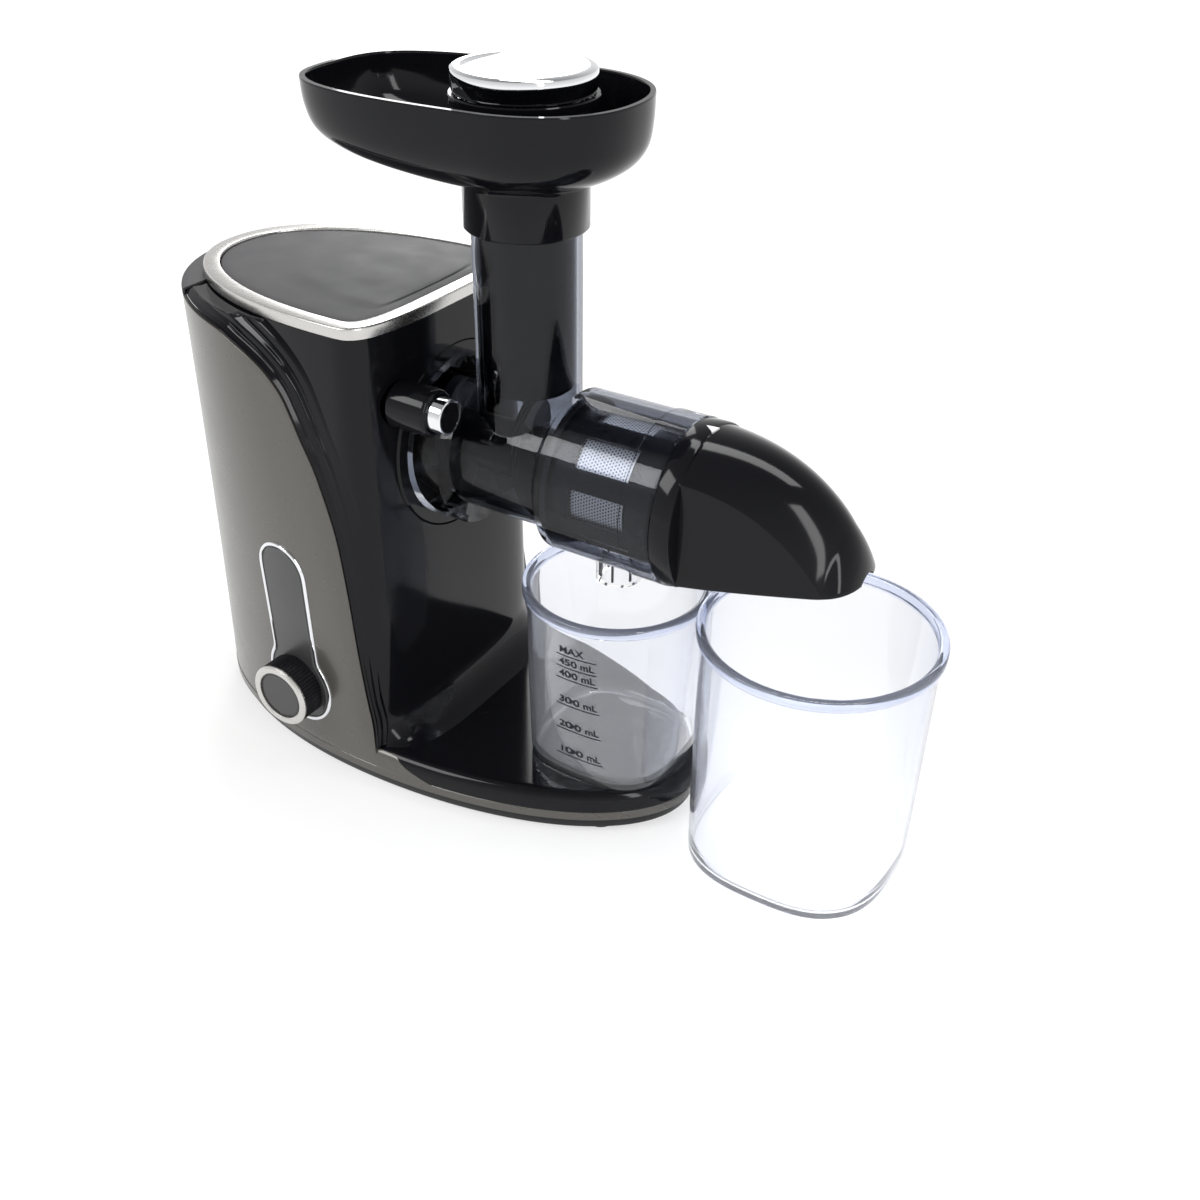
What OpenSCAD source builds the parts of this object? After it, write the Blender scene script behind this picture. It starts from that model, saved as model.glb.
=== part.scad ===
// Horizontal cold press juicer with hopper, auger chamber, pulp spout and two cups.
// Every piece is drawn in one frame: X along the auger, -Y towards the knob, Z up, the feed tube above X = 0, Y = 0.

/* [Layout] */
// X of the feed tube from the middle of the floor that the set covers
feed_x = -3.5; // [-40:0.5:20]
// Y of the auger axis from the middle of the floor that the set covers
feed_y = 5; // [-20:0.5:20]
// Height of the auger axis
axis_z = 175; // [165:1:200]

/* [Tower] */
// Height of the top of the silver ring
tower_h = 247.5; // [235:1:270]
// Left end of the tower from the feed tube
tower_left = 200.5; // [190:1:210]
// Right face of the tower from the feed tube
tower_right = 42.5; // [38:0.5:48]
// Half width of the metal coloured panel at the top
panel_top_w = 75; // [70:1:76]
// Half width of the black wall at the top
tower_top_w = 65.5; // [60:0.5:67]
// Thickness of the moulded walls
wall = 3; // [2:0.5:4]
// Radius of the hollow where the tower meets the base
foot_sweep = 18; // [8:1:26]

/* [Base] */
// Right end of the base from the feed tube
base_right = 94.3; // [80:0.1:110]
// Half width of the base
base_w = 73.3; // [66:0.1:78]
// X where the base is widest
base_mid = -63; // [-70:1:-20]
// Height of the flat top that the juice cup stands on
base_h = 24; // [20:1:32]
// Radius of the rounded edge of the base
base_round = 6; // [3:1:9]
// Height of the metal coloured strip's lower edge
trim_z = 8; // [6:0.5:12]
// Height of the metal coloured strip
trim_h = 5; // [3:0.5:8]
// Height of the rubber feet
foot_h = 1.5; // [1:0.5:4]
// Radius of a rubber foot
foot_r = 9; // [6:1:12]
// How far the bottom cover stands in from the strip
cover_inset = 2.5; // [1:0.5:4]

/* [Silver ring] */
// Half length of the ring
ring_a = 70; // [66:0.5:71]
// Half width of the ring
ring_b = 65; // [60:0.5:66.5]
// Width of the ring's band
ring_band = 8; // [5:0.5:12]
// Height of the ring
ring_h = 5.5; // [4:0.5:8]

/* [Knob] */
// X of the knob from the feed tube
knob_x = -99; // [-104:1:-96]
// Height of the knob
knob_z = 47; // [40:0.5:60]
// Radius of the knob
knob_r = 17; // [13:0.1:18]
// Length of the knob
knob_len = 15; // [12:1:22]
// Radius of the round end of the keyhole frame
keyhole_r = 23; // [19:0.5:24]
// Half width of the long end of the keyhole frame
keyhole_w = 16.5; // [12:0.5:18]
// Rise of the keyhole frame's long end above the knob
keyhole_rise = 67; // [50:1:80]
// Sideways lean of the long end
keyhole_lean = -1; // [-8:0.5:0]
// Width of the frame's chrome band
bezel_band = 1.6; // [1:0.1:3]

/* [Chamber] */
// Outer radius of the drum round the strainer
drum_r = 38.4; // [38:0.1:42]
// Outer radius of the neck between tower and drum
neck_r = 31; // [29:0.1:33]
// Wall of the clear chamber
chamber_wall = 2.8; // [2:0.1:3.5]
// X where the drum starts
drum_x = 27; // [18:1:28]
// X of the seam between drum and spout
seam_x = 86.2; // [82:0.1:95]
// Outer radius of the feed tube
tube_r = 24.3; // [23:0.05:28]
// Height of the top of the feed tube
tube_top = 300; // [295:1:320]
// Radius of the chamber's locking collar
collar_r = 40.2; // [39:0.1:43]
// X of the collar's front face
collar_x = -25; // [-30:1:-20]
// Radius of the round lock flange on the tower
flange_r = 46.6; // [44:0.1:50]
// Depth of the lock flange's socket
flange_depth = 14; // [10:1:18]
// X of the juice nozzle
nozzle_x = 49.5; // [44:0.5:54]
// Outer radius of the juice nozzle
nozzle_r = 11; // [8:0.5:13]
// Height of the nozzle's mouth
nozzle_z = 124; // [123:0.5:130]

/* [Auger and strainer] */
// Radius of the auger's flight
auger_r = 27.4; // [25:0.1:27.6]
// Radius of the auger's core at the thin end
core_r = 13; // [10:0.5:16]
// Pitch of the auger's flight
auger_pitch = 42; // [30:1:60]
// Outer radius of the strainer
strainer_r = 32; // [31:0.5:32.5]
// Number of windows round the strainer
windows = 8; // [5:1:10]

/* [Spout] */
// Length of the spout from the seam to its nose
spout_len = 86; // [70:1:100]
// Height of the lower edge at the nose
lip_z = 163; // [153:0.5:165]
// Height of the lower edge where the mouth starts
mouth_z = 149.5; // [146:0.5:152]
// Half width of the spout at its flat sides, near the drum
spout_w = 31; // [26:1:36]
// Half width of the nose's corners
nose_w = 22; // [16:1:26]

/* [Hopper and pusher] */
// Turn of the hopper about the feed tube
hopper_turn = 3.5; // [0:0.5:40]
// Height of the hopper's rim
hopper_top = 342; // [335:0.5:370]
// Half width of the hopper
hopper_b = 48.5; // [40:0.5:50]
// Reach of the hopper's long end from its middle
hopper_long = 102; // [75:1:110]
// Reach of the hopper's round end from its middle
hopper_short = 51; // [45:1:75]
// Outer radius of the hopper's neck
hopper_neck_r = 27.4; // [27:0.1:32]
// Height of the neck's lower edge
hopper_neck_z = 285; // [275:1:292]
// Radius of the pusher's chrome cap
cap_r = 31.3; // [28:0.5:34]
// Height of the chrome cap's top over the hopper's rim
cap_stand = 9; // [5:0.5:28]
// Length of the pusher below the hopper's floor
pusher_len = 96; // [60:1:110]

/* [Cups] */
// Radius of the juice cup's rim
juice_r = 46; // [42:0.5:48]
// Half width of the juice cup's square foot
juice_foot = 38.5; // [30:0.1:40]
// Height of the juice cup
juice_h = 97.9; // [85:0.1:98]
// X of the juice cup
juice_x = 49; // [46:0.1:49]
// Radius of the pulp cup's rim
pulp_r = 56.4; // [50:0.1:58]
// Half width of the pulp cup's square foot
pulp_foot = 50.1; // [38:0.1:51]
// Height of the pulp cup's rim over the juice cup's rim
pulp_stand = 5.6; // [2:0.1:8]
// X of the pulp cup
pulp_x = 152; // [152:0.1:170]
// Y of the pulp cup from the auger axis
pulp_y = 6; // [0:0.5:10]
// Wall of the cups
cup_wall = 2; // [1.5:0.1:3]

/* [Release button] */
// Y of the button
button_y = -42; // [-44:0.5:-40.5]
// Height of the button above the auger axis
button_up = 32; // [31:0.5:36]
// Radius of the button
button_r = 8.3; // [6:0.1:9]
// X of the button's face
button_x = -14; // [-22:1:-13]
// Travel of the button
button_travel = 4; // [3:0.5:5]

/* [Drive] */
// Module of the motor stage
fast_mod = 1.25; // [1:0.05:1.25]
// Module of the auger stage
slow_mod = 1.5; // [1.2:0.05:1.5]
// Teeth on each pinion
pinion_teeth = 12; // [12:1:14]
// Teeth on the middle gear
middle_teeth = 48; // [40:1:50]
// Teeth on the auger gear
auger_teeth = 52; // [44:1:54]
// Play between meshing teeth
backlash = 0.3; // [0.2:0.05:0.5]
// Radius of the motor
motor_r = 29; // [24:1:30]
// Length of the motor
motor_len = 62; // [50:1:66]
// Radius of the output shaft
output_r = 6; // [5:0.5:7]
// Radius of the motor and middle shafts
thin_shaft_r = 3; // [2.5:0.5:4]
// Running clearance of a shaft in its bush
running = 0.06; // [0.03:0.01:0.1]
// Clearance between pieces that slip together
slip = 0.3; // [0.2:0.05:0.5]

/* [Hidden] */

cap_top = hopper_top + cap_stand;
pulp_h = base_h + juice_h + pulp_stand;
$fn = 96;

gloss_black = [0.09, 0.09, 0.10];
warm_grey = [0.43, 0.42, 0.40];
dark_grey = [0.30, 0.30, 0.31];
silver = [0.76, 0.75, 0.73];
smoke = [0.20, 0.21, 0.23];
steel = [0.62, 0.62, 0.62];
clear = [0.80, 0.83, 0.95];
rubber = [0.12, 0.12, 0.12];
nylon = [0.88, 0.86, 0.80];

// ---- General shapes ----

// Everything is drawn about the feed tube and set down here
module placed() { translate([feed_x, feed_y, 0]) children(); }

// A shape drawn in Y and Z and pulled along +X, on the auger axis or at another height
module at_x(x, z = axis_z, y = 0) { translate([x, y, z]) rotate([90, 0, 90]) children(); }

// A shape drawn in X and Z and pulled along -Y
module at_y(x, y, z) { translate([x, y, z]) rotate([90, 0, 0]) children(); }

function mix(a, b, s) = a + (b - a) * s;
function spow(v, p) = sign(v) * pow(abs(v), p);
function flat(rows) = [for (r = rows) each r];

// Point of a closed superellipse whose left and right halves differ
function egg(t, left, right, half, nl, nr) =
    let (n = cos(t) < 0 ? nl : nr, a = cos(t) < 0 ? left : right)
    [a * spow(cos(t), 2 / n), half * spow(sin(t), 2 / n)];

// Angles that step round a closed outline
function turns(count) = [for (i = [0 : count - 1]) 360 * i / count];

// Skin through closed rows of points; capped at both ends, or joined into a ring
module loft(rows, ring = false) {
    n = len(rows[0]);
    m = len(rows);
    last = ring ? m - 1 : m - 2;
    sides = [for (k = [0 : last]) for (i = [0 : n - 1])
        let (a = k * n + i, b = k * n + (i + 1) % n,
             c = ((k + 1) % m) * n + (i + 1) % n, d = ((k + 1) % m) * n + i)
        each [[a, c, b], [a, d, c]]];
    function middle(row) = [for (i = [0 : n - 1]) 1] * row / n;
    caps = ring ? [] : [for (i = [0 : n - 1])
        each [[m * n, i, (i + 1) % n], [m * n + 1, (m - 1) * n + (i + 1) % n, (m - 1) * n + i]]];
    ends = ring ? [] : [middle(rows[0]), middle(rows[m - 1])];
    polyhedron(points = concat(flat(rows), ends), faces = concat(sides, caps), convexity = 10);
}

// Wall between an outer and an inner grid of points that has free edges on all four sides
module sheet(outer, inner) {
    m = len(outer);
    n = len(outer[0]);
    top = m * n;
    function quad(a, b, c, d) = [[a, b, c], [a, c, d]];
    faces = [
        for (k = [0 : m - 2]) for (i = [0 : n - 2])
            let (a = k * n + i) each concat(quad(a, a + n, a + n + 1, a + 1),
                quad(top + a, top + a + 1, top + a + n + 1, top + a + n)),
        for (i = [0 : n - 2]) each concat(quad(i, i + 1, top + i + 1, top + i),
            quad(top - n + i, 2 * top - n + i, 2 * top - n + i + 1, top - n + i + 1)),
        for (k = [0 : m - 2]) each concat(quad(k * n, top + k * n, top + k * n + n, k * n + n),
            quad(k * n + n - 1, k * n + 2 * n - 1, top + k * n + 2 * n - 1, top + k * n + n - 1))
    ];
    polyhedron(points = concat(flat(outer), flat(inner)), faces = faces, convexity = 10);
}

// Ring with a square section
module tube(r_out, r_in, h) {
    difference() {
        cylinder(r = r_out, h = h);
        translate([0, 0, -1]) cylinder(r = r_in, h = h + 2);
    }
}

// ---- Outline of the tower and the base ----

shell_top = tower_h - ring_h;
panel_top = shell_top - 3;
trim_top = trim_z + trim_h;
ring_end = 2 - tower_right;
ring_mid = ring_end - 0.33 * ring_a;
ring_l = 1.67 * ring_a;
function rise(z) = (z - trim_z) / (shell_top - trim_z);
function sweep_out(z) = z >= base_h + foot_sweep ? 0 :
    let (d = foot_sweep - max(z - base_h, 0)) foot_sweep - sqrt(max(pow(foot_sweep, 2) - d * d, 0));

// Outline at height z as middle, left and right reach, half width and the two powers:
// of the metal coloured panel (skin = 1) and of the black wall inside it (skin = 0)
function outline(z, skin) = let (q = rise(z), m = skin == 1 ? mix(base_mid, -105, q) : mix(base_mid - 10, ring_mid, q))
    [m, skin == 1 ? mix(tower_left + base_mid, 83.6, q) : mix(118, ring_l + 0.5, q), sweep_out(z) - tower_right - m,
        skin == 1 ? mix(base_w - 0.3, panel_top_w, q) : mix(base_w - 3, tower_top_w, q),
        skin == 1 ? mix(2.1, 1.9, q) : mix(2.5, 2.15, q), mix(4, skin == 1 ? 2.9 : 3.6, q)];

// Point on an outline at angle t, moved in by d
function outline_at(t, z, d = 0, skin = 1) =
    let (o = outline(z, skin), p = egg(t, o[1] - d, o[2] - d, o[3] - d, o[4], o[5])) [o[0] + p[0], p[1], z];

// Angle at which an outline passes a given x
function angle_of(x, z, d = 0, skin = 1) =
    let (o = outline(z, skin), left = x < o[0], u = (x - o[0]) / ((left ? o[1] : o[2]) - d))
    acos(max(-1, min(1, sign(u) * pow(abs(u), (left ? o[4] : o[5]) / 2))));

// Half width of an outline at x
function width_at(x, z, d = 0, skin = 1) = outline_at(angle_of(x, z, d, skin), z, d, skin)[1];

function base_at(t, d = 0) =
    let (p = egg(t, tower_left + base_mid - d, base_right - base_mid - d, base_w - d, 2.1, 2))
    [base_mid + p[0], p[1]];

// Curve of the joint between the two colours on the front, as Z and X
joint_foot_x = -48;
joint_head_x = -158;
joint_knots = [[trim_top, joint_foot_x], [39, -52.4], [75, -56.3], [115, -59.7], [142, -62.7], [158, -65.8],
    [178, -71], [192, -76.4], [204, -80.9], [213, -85.1], [221, -92], [227, -100.5], [232.5, -112],
    [236.5, -125], [panel_top, joint_head_x]];
function knot_slope(i) =
    let (a = max(i - 1, 0), b = min(i + 1, len(joint_knots) - 1))
    (joint_knots[b][1] - joint_knots[a][1]) / (joint_knots[b][0] - joint_knots[a][0]);
function seam_at(z) = z <= trim_top ? joint_foot_x : z >= panel_top ? joint_head_x :
    let (i = max([for (k = [0 : len(joint_knots) - 2]) if (joint_knots[k][0] <= z) k]), h = joint_knots[i + 1][0] - joint_knots[i][0],
         t = (z - joint_knots[i][0]) / h)
    (2 * pow(t, 3) - 3 * t * t + 1) * joint_knots[i][1] + (pow(t, 3) - 2 * t * t + t) * h * knot_slope(i)
        + (3 * t * t - 2 * pow(t, 3)) * joint_knots[i + 1][1] + (pow(t, 3) - t * t) * h * knot_slope(i + 1);
joint_gap = 0.25;

// ---- Casing ----

shell_rows = [base_h - 2, base_h, base_h + 2, base_h + 6, base_h + 12, base_h + foot_sweep, 70, 110, 140, 165,
    182, 197, 209, 219, 227, 233, panel_top, shell_top];

// Slope of the joint, and the curve that runs beside it at distance d, as X and Z
function seam_slope(z) = (seam_at(z + 0.4) - seam_at(z - 0.4)) / 0.8;
function beside(z, d) = let (k = seam_slope(z), n = sqrt(1 + k * k)) [seam_at(z) + d / n, z - d * k / n];
function trim_w(z) = mix(3, 12.6, max(0, min(1, (z - 50) / 110)));
trim_edge = [for (z = [base_h - 10, 40, 74, 100, 125, 145, 160, 175, 188, 199, 208, 215, 221, 226, 230])
    let (p = beside(z, trim_w(z) + joint_gap)) [p[1], p[0]]];

// Black wall of the tower, from the joint round the right face
module shell_wall() {
    steps = 20;
    function row(z, d) = let (t = angle_of(lookup(z, trim_edge), z, d, 0))
        [for (i = [0 : steps]) outline_at(-t + 2 * t * i / steps, z, d, 0)];
    sheet([for (z = shell_rows) row(z, 0)], [for (z = shell_rows) row(z, wall)]);
}

// Outline of the base moved in by d, and by the side panel's thickness where the panel covers it
module base_2d(d) { polygon([for (t = turns(72)) base_at(t, d)]); }
function tuck(x) = (wall + 3 * joint_gap) * max(0, min(1, (joint_foot_x + 5 - x) / 4.5));
tuck_turns = [for (x = [joint_foot_x + 5, joint_foot_x + 0.4]) acos((x - base_mid) / (base_right - base_mid))];
tray_turns = concat([for (i = [0 : 9]) i * 8.2], tuck_turns, [for (i = [0 : 22]) 92 + i * 8], 
    [for (i = [1 : -1 : 0]) 360 - tuck_turns[i]], [for (i = [9 : -1 : 1]) 360 - i * 8.2]);
function tray_row(z, d) = [for (t = tray_turns) let (q = base_at(t, d + tuck(base_at(t)[0]))) [q[0], q[1], z]];

// Rounded tray that makes the foot of the tower and the stand for the juice cup
module base_tray() {
    edge = [for (a = [0 : 22.5 : 90]) [base_h - base_round * (1 - sin(a)), base_round * (1 - cos(a))]];
    loft(concat(
        [tray_row(base_h - wall, base_round + 1), tray_row(base_h - base_round, wall), tray_row(trim_top, wall)],
        [tray_row(trim_top, 0)],
        [for (e = edge) tray_row(e[0], e[1])]));
}

cover_floor = 2.5;
screw_r = 1.5;
post_r = 4;
screw_spots = [for (x = [-120, 20]) for (s = [-1, 1]) [x, s * 43]];
foot_spots = [for (x = [-148, 60]) for (s = [-1, 1]) [x, s * 31]];

module body_shell() {
    color(gloss_black)
    difference() {
        union() {
            shell_wall();
            base_tray();
            for (p = screw_spots) translate([p[0], p[1], foot_h + cover_floor])
                cylinder(r = post_r, h = base_h - wall + 1 - foot_h - cover_floor);
        }
        at_x(flange_back - 6) cylinder(r = flange_r, h = 60);
        at_x(boss_back - 1, button_z, button_y) cylinder(r = boss_r, h = 60);
        at_x(boss_back - button_travel - 4, button_z, button_y) cylinder(r = stem_r + 0.6, h = 20);
        for (p = screw_spots) translate([p[0], p[1], foot_h]) cylinder(r = screw_r, h = 14);
    }
}

panel_rows = [trim_top, 20, 30, 45, 74, 105, 130, 150, 165, 180, 192, 203, 211, 218, 224, 229, 233, 236, panel_top];
gland_x = -100;
gland_z = 37;
gland_r = 5;

// Metal coloured wrap round the left end, with the curved front edge
module side_panel() {
    steps = 24;
    function row(z, d) = let (t = angle_of(seam_at(z) - joint_gap, z, d))
        [for (i = [0 : steps]) outline_at(mix(t, 360 - t, i / steps), z, d)];
    color(warm_grey)
    difference() {
        sheet([for (z = panel_rows) row(z, 0)], [for (z = panel_rows) row(z, wall)]);
        at_y(knob_x, -40, knob_z) linear_extrude(60) keyhole_2d(0);
        at_y(gland_x, 90, gland_z) cylinder(r = gland_r, h = 60);
    }
}

// Share of the strip's width, and of the height between wall and panel
step_profile = [[0, 0.96], [0.08, 0.62], [0.48, 0.56], [0.56, 0.26], [0.92, 0.2], [1, 0]];

// Stepped strip on each side that leads from the panel's edge down to the black wall
module joint_trim() {
    zs = [base_h + 0.4, 34, 54, 76, 100, 125, 145, 160, 175, 188, 199, 208, 215, 221, 226, 230, 233, 235.5, 237.2, panel_top];
    function point(z, s, side, back) = let (
        q = beside(z, joint_gap + trim_w(z) * s[0] * (1 - back * 0.15)), x = max(q[0], joint_head_x + joint_gap),
        h = max(min(q[1], shell_top - 0.5 - back * 2), base_h + 0.4))
        [x, side * (mix(width_at(x, h, 0, 0), width_at(x, h), s[1]) - back * 2.4), h];
    function grid(side, back) = [for (z = zs) [for (s = step_profile) point(z, s, side, back)]];
    color(gloss_black) {
        sheet(grid(-1, 0), grid(-1, 1));
        sheet(grid(1, 1), grid(1, 0));
    }
}

module base_trim() {
    color(silver)
    translate([0, 0, trim_z]) linear_extrude(trim_h) difference() {
        base_2d(0);
        base_2d(cover_inset + wall);
    }
}

module bottom_cover() {
    color(gloss_black)
    difference() {
        translate([0, 0, foot_h]) linear_extrude(trim_z - foot_h) base_2d(cover_inset);
        translate([0, 0, foot_h + cover_floor]) linear_extrude(trim_z) base_2d(cover_inset + wall);
        for (p = screw_spots) translate([p[0], p[1], foot_h - 1]) {
            cylinder(r = screw_r, h = 9);
            cylinder(r = 2 * screw_r, h = 2.4);
        }
    }
}

module foot_pads() {
    color(rubber)
    for (p = foot_spots) translate([p[0], p[1], 0]) cylinder(r1 = foot_r - 0.6, r2 = foot_r, h = foot_h);
}

module bottom_screws() {
    color(steel)
    for (p = screw_spots) translate([p[0], p[1], foot_h]) difference() {
        union() {
            cylinder(r = 2 * screw_r, h = 1.4);
            cylinder(r = screw_r, h = 12);
        }
        for (a = [0, 90]) rotate(a) translate([-2, -0.35, -1]) cube([4, 0.7, 1.8]);
    }
}

module head_2d(d, skin) { polygon([for (t = turns(72)) let (p = outline_at(t, shell_top, d, skin)) [p[0], p[1]]]); }

// Dark deck that closes the tower and shows as the ledge at the left
module shoulder_plate() {
    color(dark_grey)
    translate([0, 0, panel_top + joint_gap]) linear_extrude(shell_top - panel_top - joint_gap) {
        head_2d(wall + joint_gap, 0);
        intersection() {
            head_2d(0, 1);
            translate([-300, -100]) square([300 + joint_head_x - joint_gap, 200]);
        }
    }
}

module ring_2d(d) {
    polygon([for (t = turns(96)) let (p = egg(t, ring_l - d, ring_end - ring_mid - d, ring_b - d, 2.15, 3.6)) [ring_mid + p[0], p[1]]]);
}

module top_ring() {
    color(silver)
    translate([0, 0, shell_top]) difference() {
        union() {
            linear_extrude(ring_h - 0.8) ring_2d(0);
            linear_extrude(ring_h) ring_2d(0.8);
        }
        translate([0, 0, -1]) linear_extrude(ring_h + 2) ring_2d(ring_band);
    }
}

module top_plate() {
    color(dark_grey)
    translate([0, 0, shell_top]) {
        linear_extrude(ring_h - 1.4) ring_2d(ring_band + 0.2);
        linear_extrude(ring_h - 0.8) ring_2d(ring_band + 2);
    }
}

// ---- Control: keyhole frame, inlay and knob ----

knob_shaft_r = 4;
face_y = -width_at(knob_x, knob_z);

// Keyhole outline about the knob's axis, moved in by d
module keyhole_2d(d) {
    circle(r = keyhole_r - d);
    lean = atan2(-keyhole_lean, keyhole_rise);
    reach = keyhole_rise / cos(lean);
    rotate(lean) {
        translate([-keyhole_w + d, 0]) square([2 * (keyhole_w - d), reach]);
        translate([0, reach]) circle(r = keyhole_w - d);
    }
}

// Piece of the tower's front skin from `out` outside it to `deep` inside it
module skin_patch(out, deep) {
    zs = [for (i = [0 : 8]) knob_z - keyhole_r - 4 + i * (keyhole_rise + keyhole_r + keyhole_w + 8) / 8];
    xs = [for (i = [0 : 8]) knob_x - keyhole_r - 5 + i * (2 * keyhole_r + 10) / 8];
    function row(z, d) = [for (x = xs) outline_at(-angle_of(x, z, d), z, d)];
    sheet([for (z = zs) row(z, -out)], [for (z = zs) row(z, deep)]);
}

module control_bezel() {
    color(silver)
    intersection() {
        skin_patch(0.9, wall);
        at_y(knob_x, -40, knob_z) linear_extrude(60) difference() {
            keyhole_2d(0);
            keyhole_2d(bezel_band);
        }
    }
}

inlay_back = face_y + wall + 3;

module control_inlay() {
    color(dark_grey)
    difference() {
        union() {
            intersection() {
                skin_patch(-0.8, wall);
                at_y(knob_x, -40, knob_z) linear_extrude(60) keyhole_2d(bezel_band);
            }
            at_y(knob_x, inlay_back, knob_z) cylinder(r = 9, h = inlay_back - face_y - 2);
        }
        at_y(knob_x, -20, knob_z) cylinder(r = knob_shaft_r + slip, h = 80);
    }
}

grip_back = face_y - 1.2;
grip_front = face_y - knob_len + 1.2;
ribs = 56;

module knob_grip() {
    color(gloss_black)
    at_y(knob_x, grip_back, knob_z) difference() {
        linear_extrude(grip_back - grip_front) polygon([for (i = [0 : 2 * ribs - 1])
            let (r = knob_r - (i % 2) * 0.7, a = 180 * i / ribs) [r * cos(a), r * sin(a)]]);
        translate([0, 0, -1]) cylinder(r = knob_shaft_r, h = 9);
        translate([0, 0, grip_back - grip_front - 3]) cylinder(r = knob_r - 3.9, h = 4);
    }
}

module knob_ring() {
    color(silver)
    at_y(knob_x, grip_front, knob_z) rotate_extrude()
        polygon([[knob_r - 3.9, 0], [knob_r, 0], [knob_r, 0.8], [knob_r - 1, 1.6], [knob_r - 3.4, 1.6], [knob_r - 3.9, 1.2]]);
}

module knob_cap() {
    color(dark_grey)
    at_y(knob_x, grip_front + 3, knob_z) {
        cylinder(r = knob_r - 3.9, h = 3);
        translate([0, 0, 3]) cylinder(r1 = knob_r - 3.9, r2 = knob_r - 5.5, h = 0.7);
    }
}

switch_depth = 16;

module knob_shaft() {
    color(steel)
    at_y(knob_x, inlay_back + switch_depth - 2, knob_z)
        cylinder(r = knob_shaft_r, h = inlay_back + switch_depth - 2 - grip_back + 8);
}

module rotary_switch() {
    color(nylon)
    difference() {
        union() {
            translate([knob_x - 13, inlay_back, knob_z - 13]) cube([26, switch_depth, 26]);
            for (i = [-1 : 1]) translate([knob_x + 7 * i - 1, inlay_back + switch_depth, knob_z - 4]) cube([2, 6, 8]);
        }
        at_y(knob_x, inlay_back + switch_depth - 2 + slip, knob_z) cylinder(r = knob_shaft_r + running, h = 40);
    }
}

// ---- Lock flange and release button ----

flange_front = -tower_right;
flange_back = flange_front - flange_depth - 4;
spigot_r = collar_r - 4.2;
lug_out = 2.2;
lug_x = flange_front - 9;
lug_w = 5;
twist = 40;
lugs = 3;

// Sectors of a ring that serve as bayonet lugs or as the slots they enter by
module sectors(r_out, r_in, h, span, turn) {
    for (i = [0 : lugs - 1]) rotate(turn + 360 * i / lugs) intersection() {
        tube(r_out, r_in, h);
        translate([0, 0, -1]) linear_extrude(h + 2)
            polygon([[0, 0], for (a = [-span / 2, 0, span / 2]) 2 * r_out * [cos(a), sin(a)]]);
    }
}

module lock_flange() {
    color(gloss_black)
    difference() {
        union() {
            at_x(flange_back) cylinder(r = flange_r, h = flange_front - flange_back - 1);
            at_x(flange_front - 1) cylinder(r1 = flange_r, r2 = flange_r - 1, h = 1);
        }
        at_x(flange_back + 4) cylinder(r = spigot_r + slip, h = 40);
        at_x(flange_back - 1) cylinder(r = seal_r, h = 40);
        at_x(lug_x - slip) cylinder(r = spigot_r + lug_out + slip, h = lug_w + 2 * slip);
        at_x(lug_x) sectors(spigot_r + lug_out + slip - 0.1, spigot_r - 1, 20, 30, 90 - twist);
    }
}

seal_r = 12;
module shaft_seal() {
    color(rubber)
    at_x(flange_back) tube(seal_r, socket_r + running, 4);
}

button_z = axis_z + button_up;
boss_r = button_r + 2;
boss_back = flange_back + 1;
boss_front = button_x - 7;
cap_len = 6.5;
stem_r = 3;
boss_floor = boss_front - 20;

module button_housing() {
    color(gloss_black)
    difference() {
        at_x(boss_back, button_z, button_y) cylinder(r = boss_r, h = boss_front - boss_back);
        at_x(boss_floor, button_z, button_y) cylinder(r = button_r + slip, h = 40);
        at_x(boss_back - 1, button_z, button_y) cylinder(r = stem_r + running, h = 60);
        at_x(flange_back - 9) cylinder(r = flange_r, h = flange_front - flange_back + 9);
        at_x(flange_front - 1) cylinder(r = collar_r + 0.5, h = 40);
    }
}

module button_cap() {
    color(silver)
    at_x(button_x - cap_len - button_travel - 2, button_z, button_y) {
        cylinder(r = button_r, h = cap_len + button_travel + 1);
        translate([0, 0, cap_len + button_travel + 1]) cylinder(r1 = button_r, r2 = button_r - 1, h = 1);
    }
}

stem_front = button_x - cap_len - button_travel - 2;
stem_len = stem_front - boss_back - 1;
module button_stem() {
    color(steel)
    at_x(stem_front - stem_len, button_z, button_y) cylinder(r = stem_r, h = stem_len);
}

// Coil spring from its wire, as one swept tube
module coil(r, wire, turns_n, length) {
    steps = 11;
    sides = 5;
    loft([for (k = [0 : steps * turns_n]) let (a = 360 * k / steps)
        [for (j = [sides - 1 : -1 : 0]) let (b = 360 * j / sides, q = r + wire * cos(b))
            [q * cos(a), q * sin(a), wire * sin(b) + wire + (length - 2 * wire) * k / (steps * turns_n)]]]);
}

module button_spring() {
    color(steel)
    at_x(boss_floor, button_z, button_y) coil(5.2, 0.5, 5, stem_front - boss_floor);
}

// ---- Gearbox and motor ----

stage_fast = fast_mod * (pinion_teeth + middle_teeth) / 2;
stage_slow = slow_mod * (pinion_teeth + auger_teeth) / 2;
middle_z = axis_z - stage_slow;
motor_z = middle_z - stage_fast;
case_front = flange_back - 4;
case_len = 30;
case_back = case_front - case_len;
case_wall = 3;
auger_gear_r = slow_mod * (auger_teeth + 2) / 2;
middle_gear_r = fast_mod * (middle_teeth + 2) / 2;
ear_spots = [for (s = [-1, 1]) each [[s * 39, middle_z + 11], [s * 24, motor_z - 25.5]]];

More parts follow.
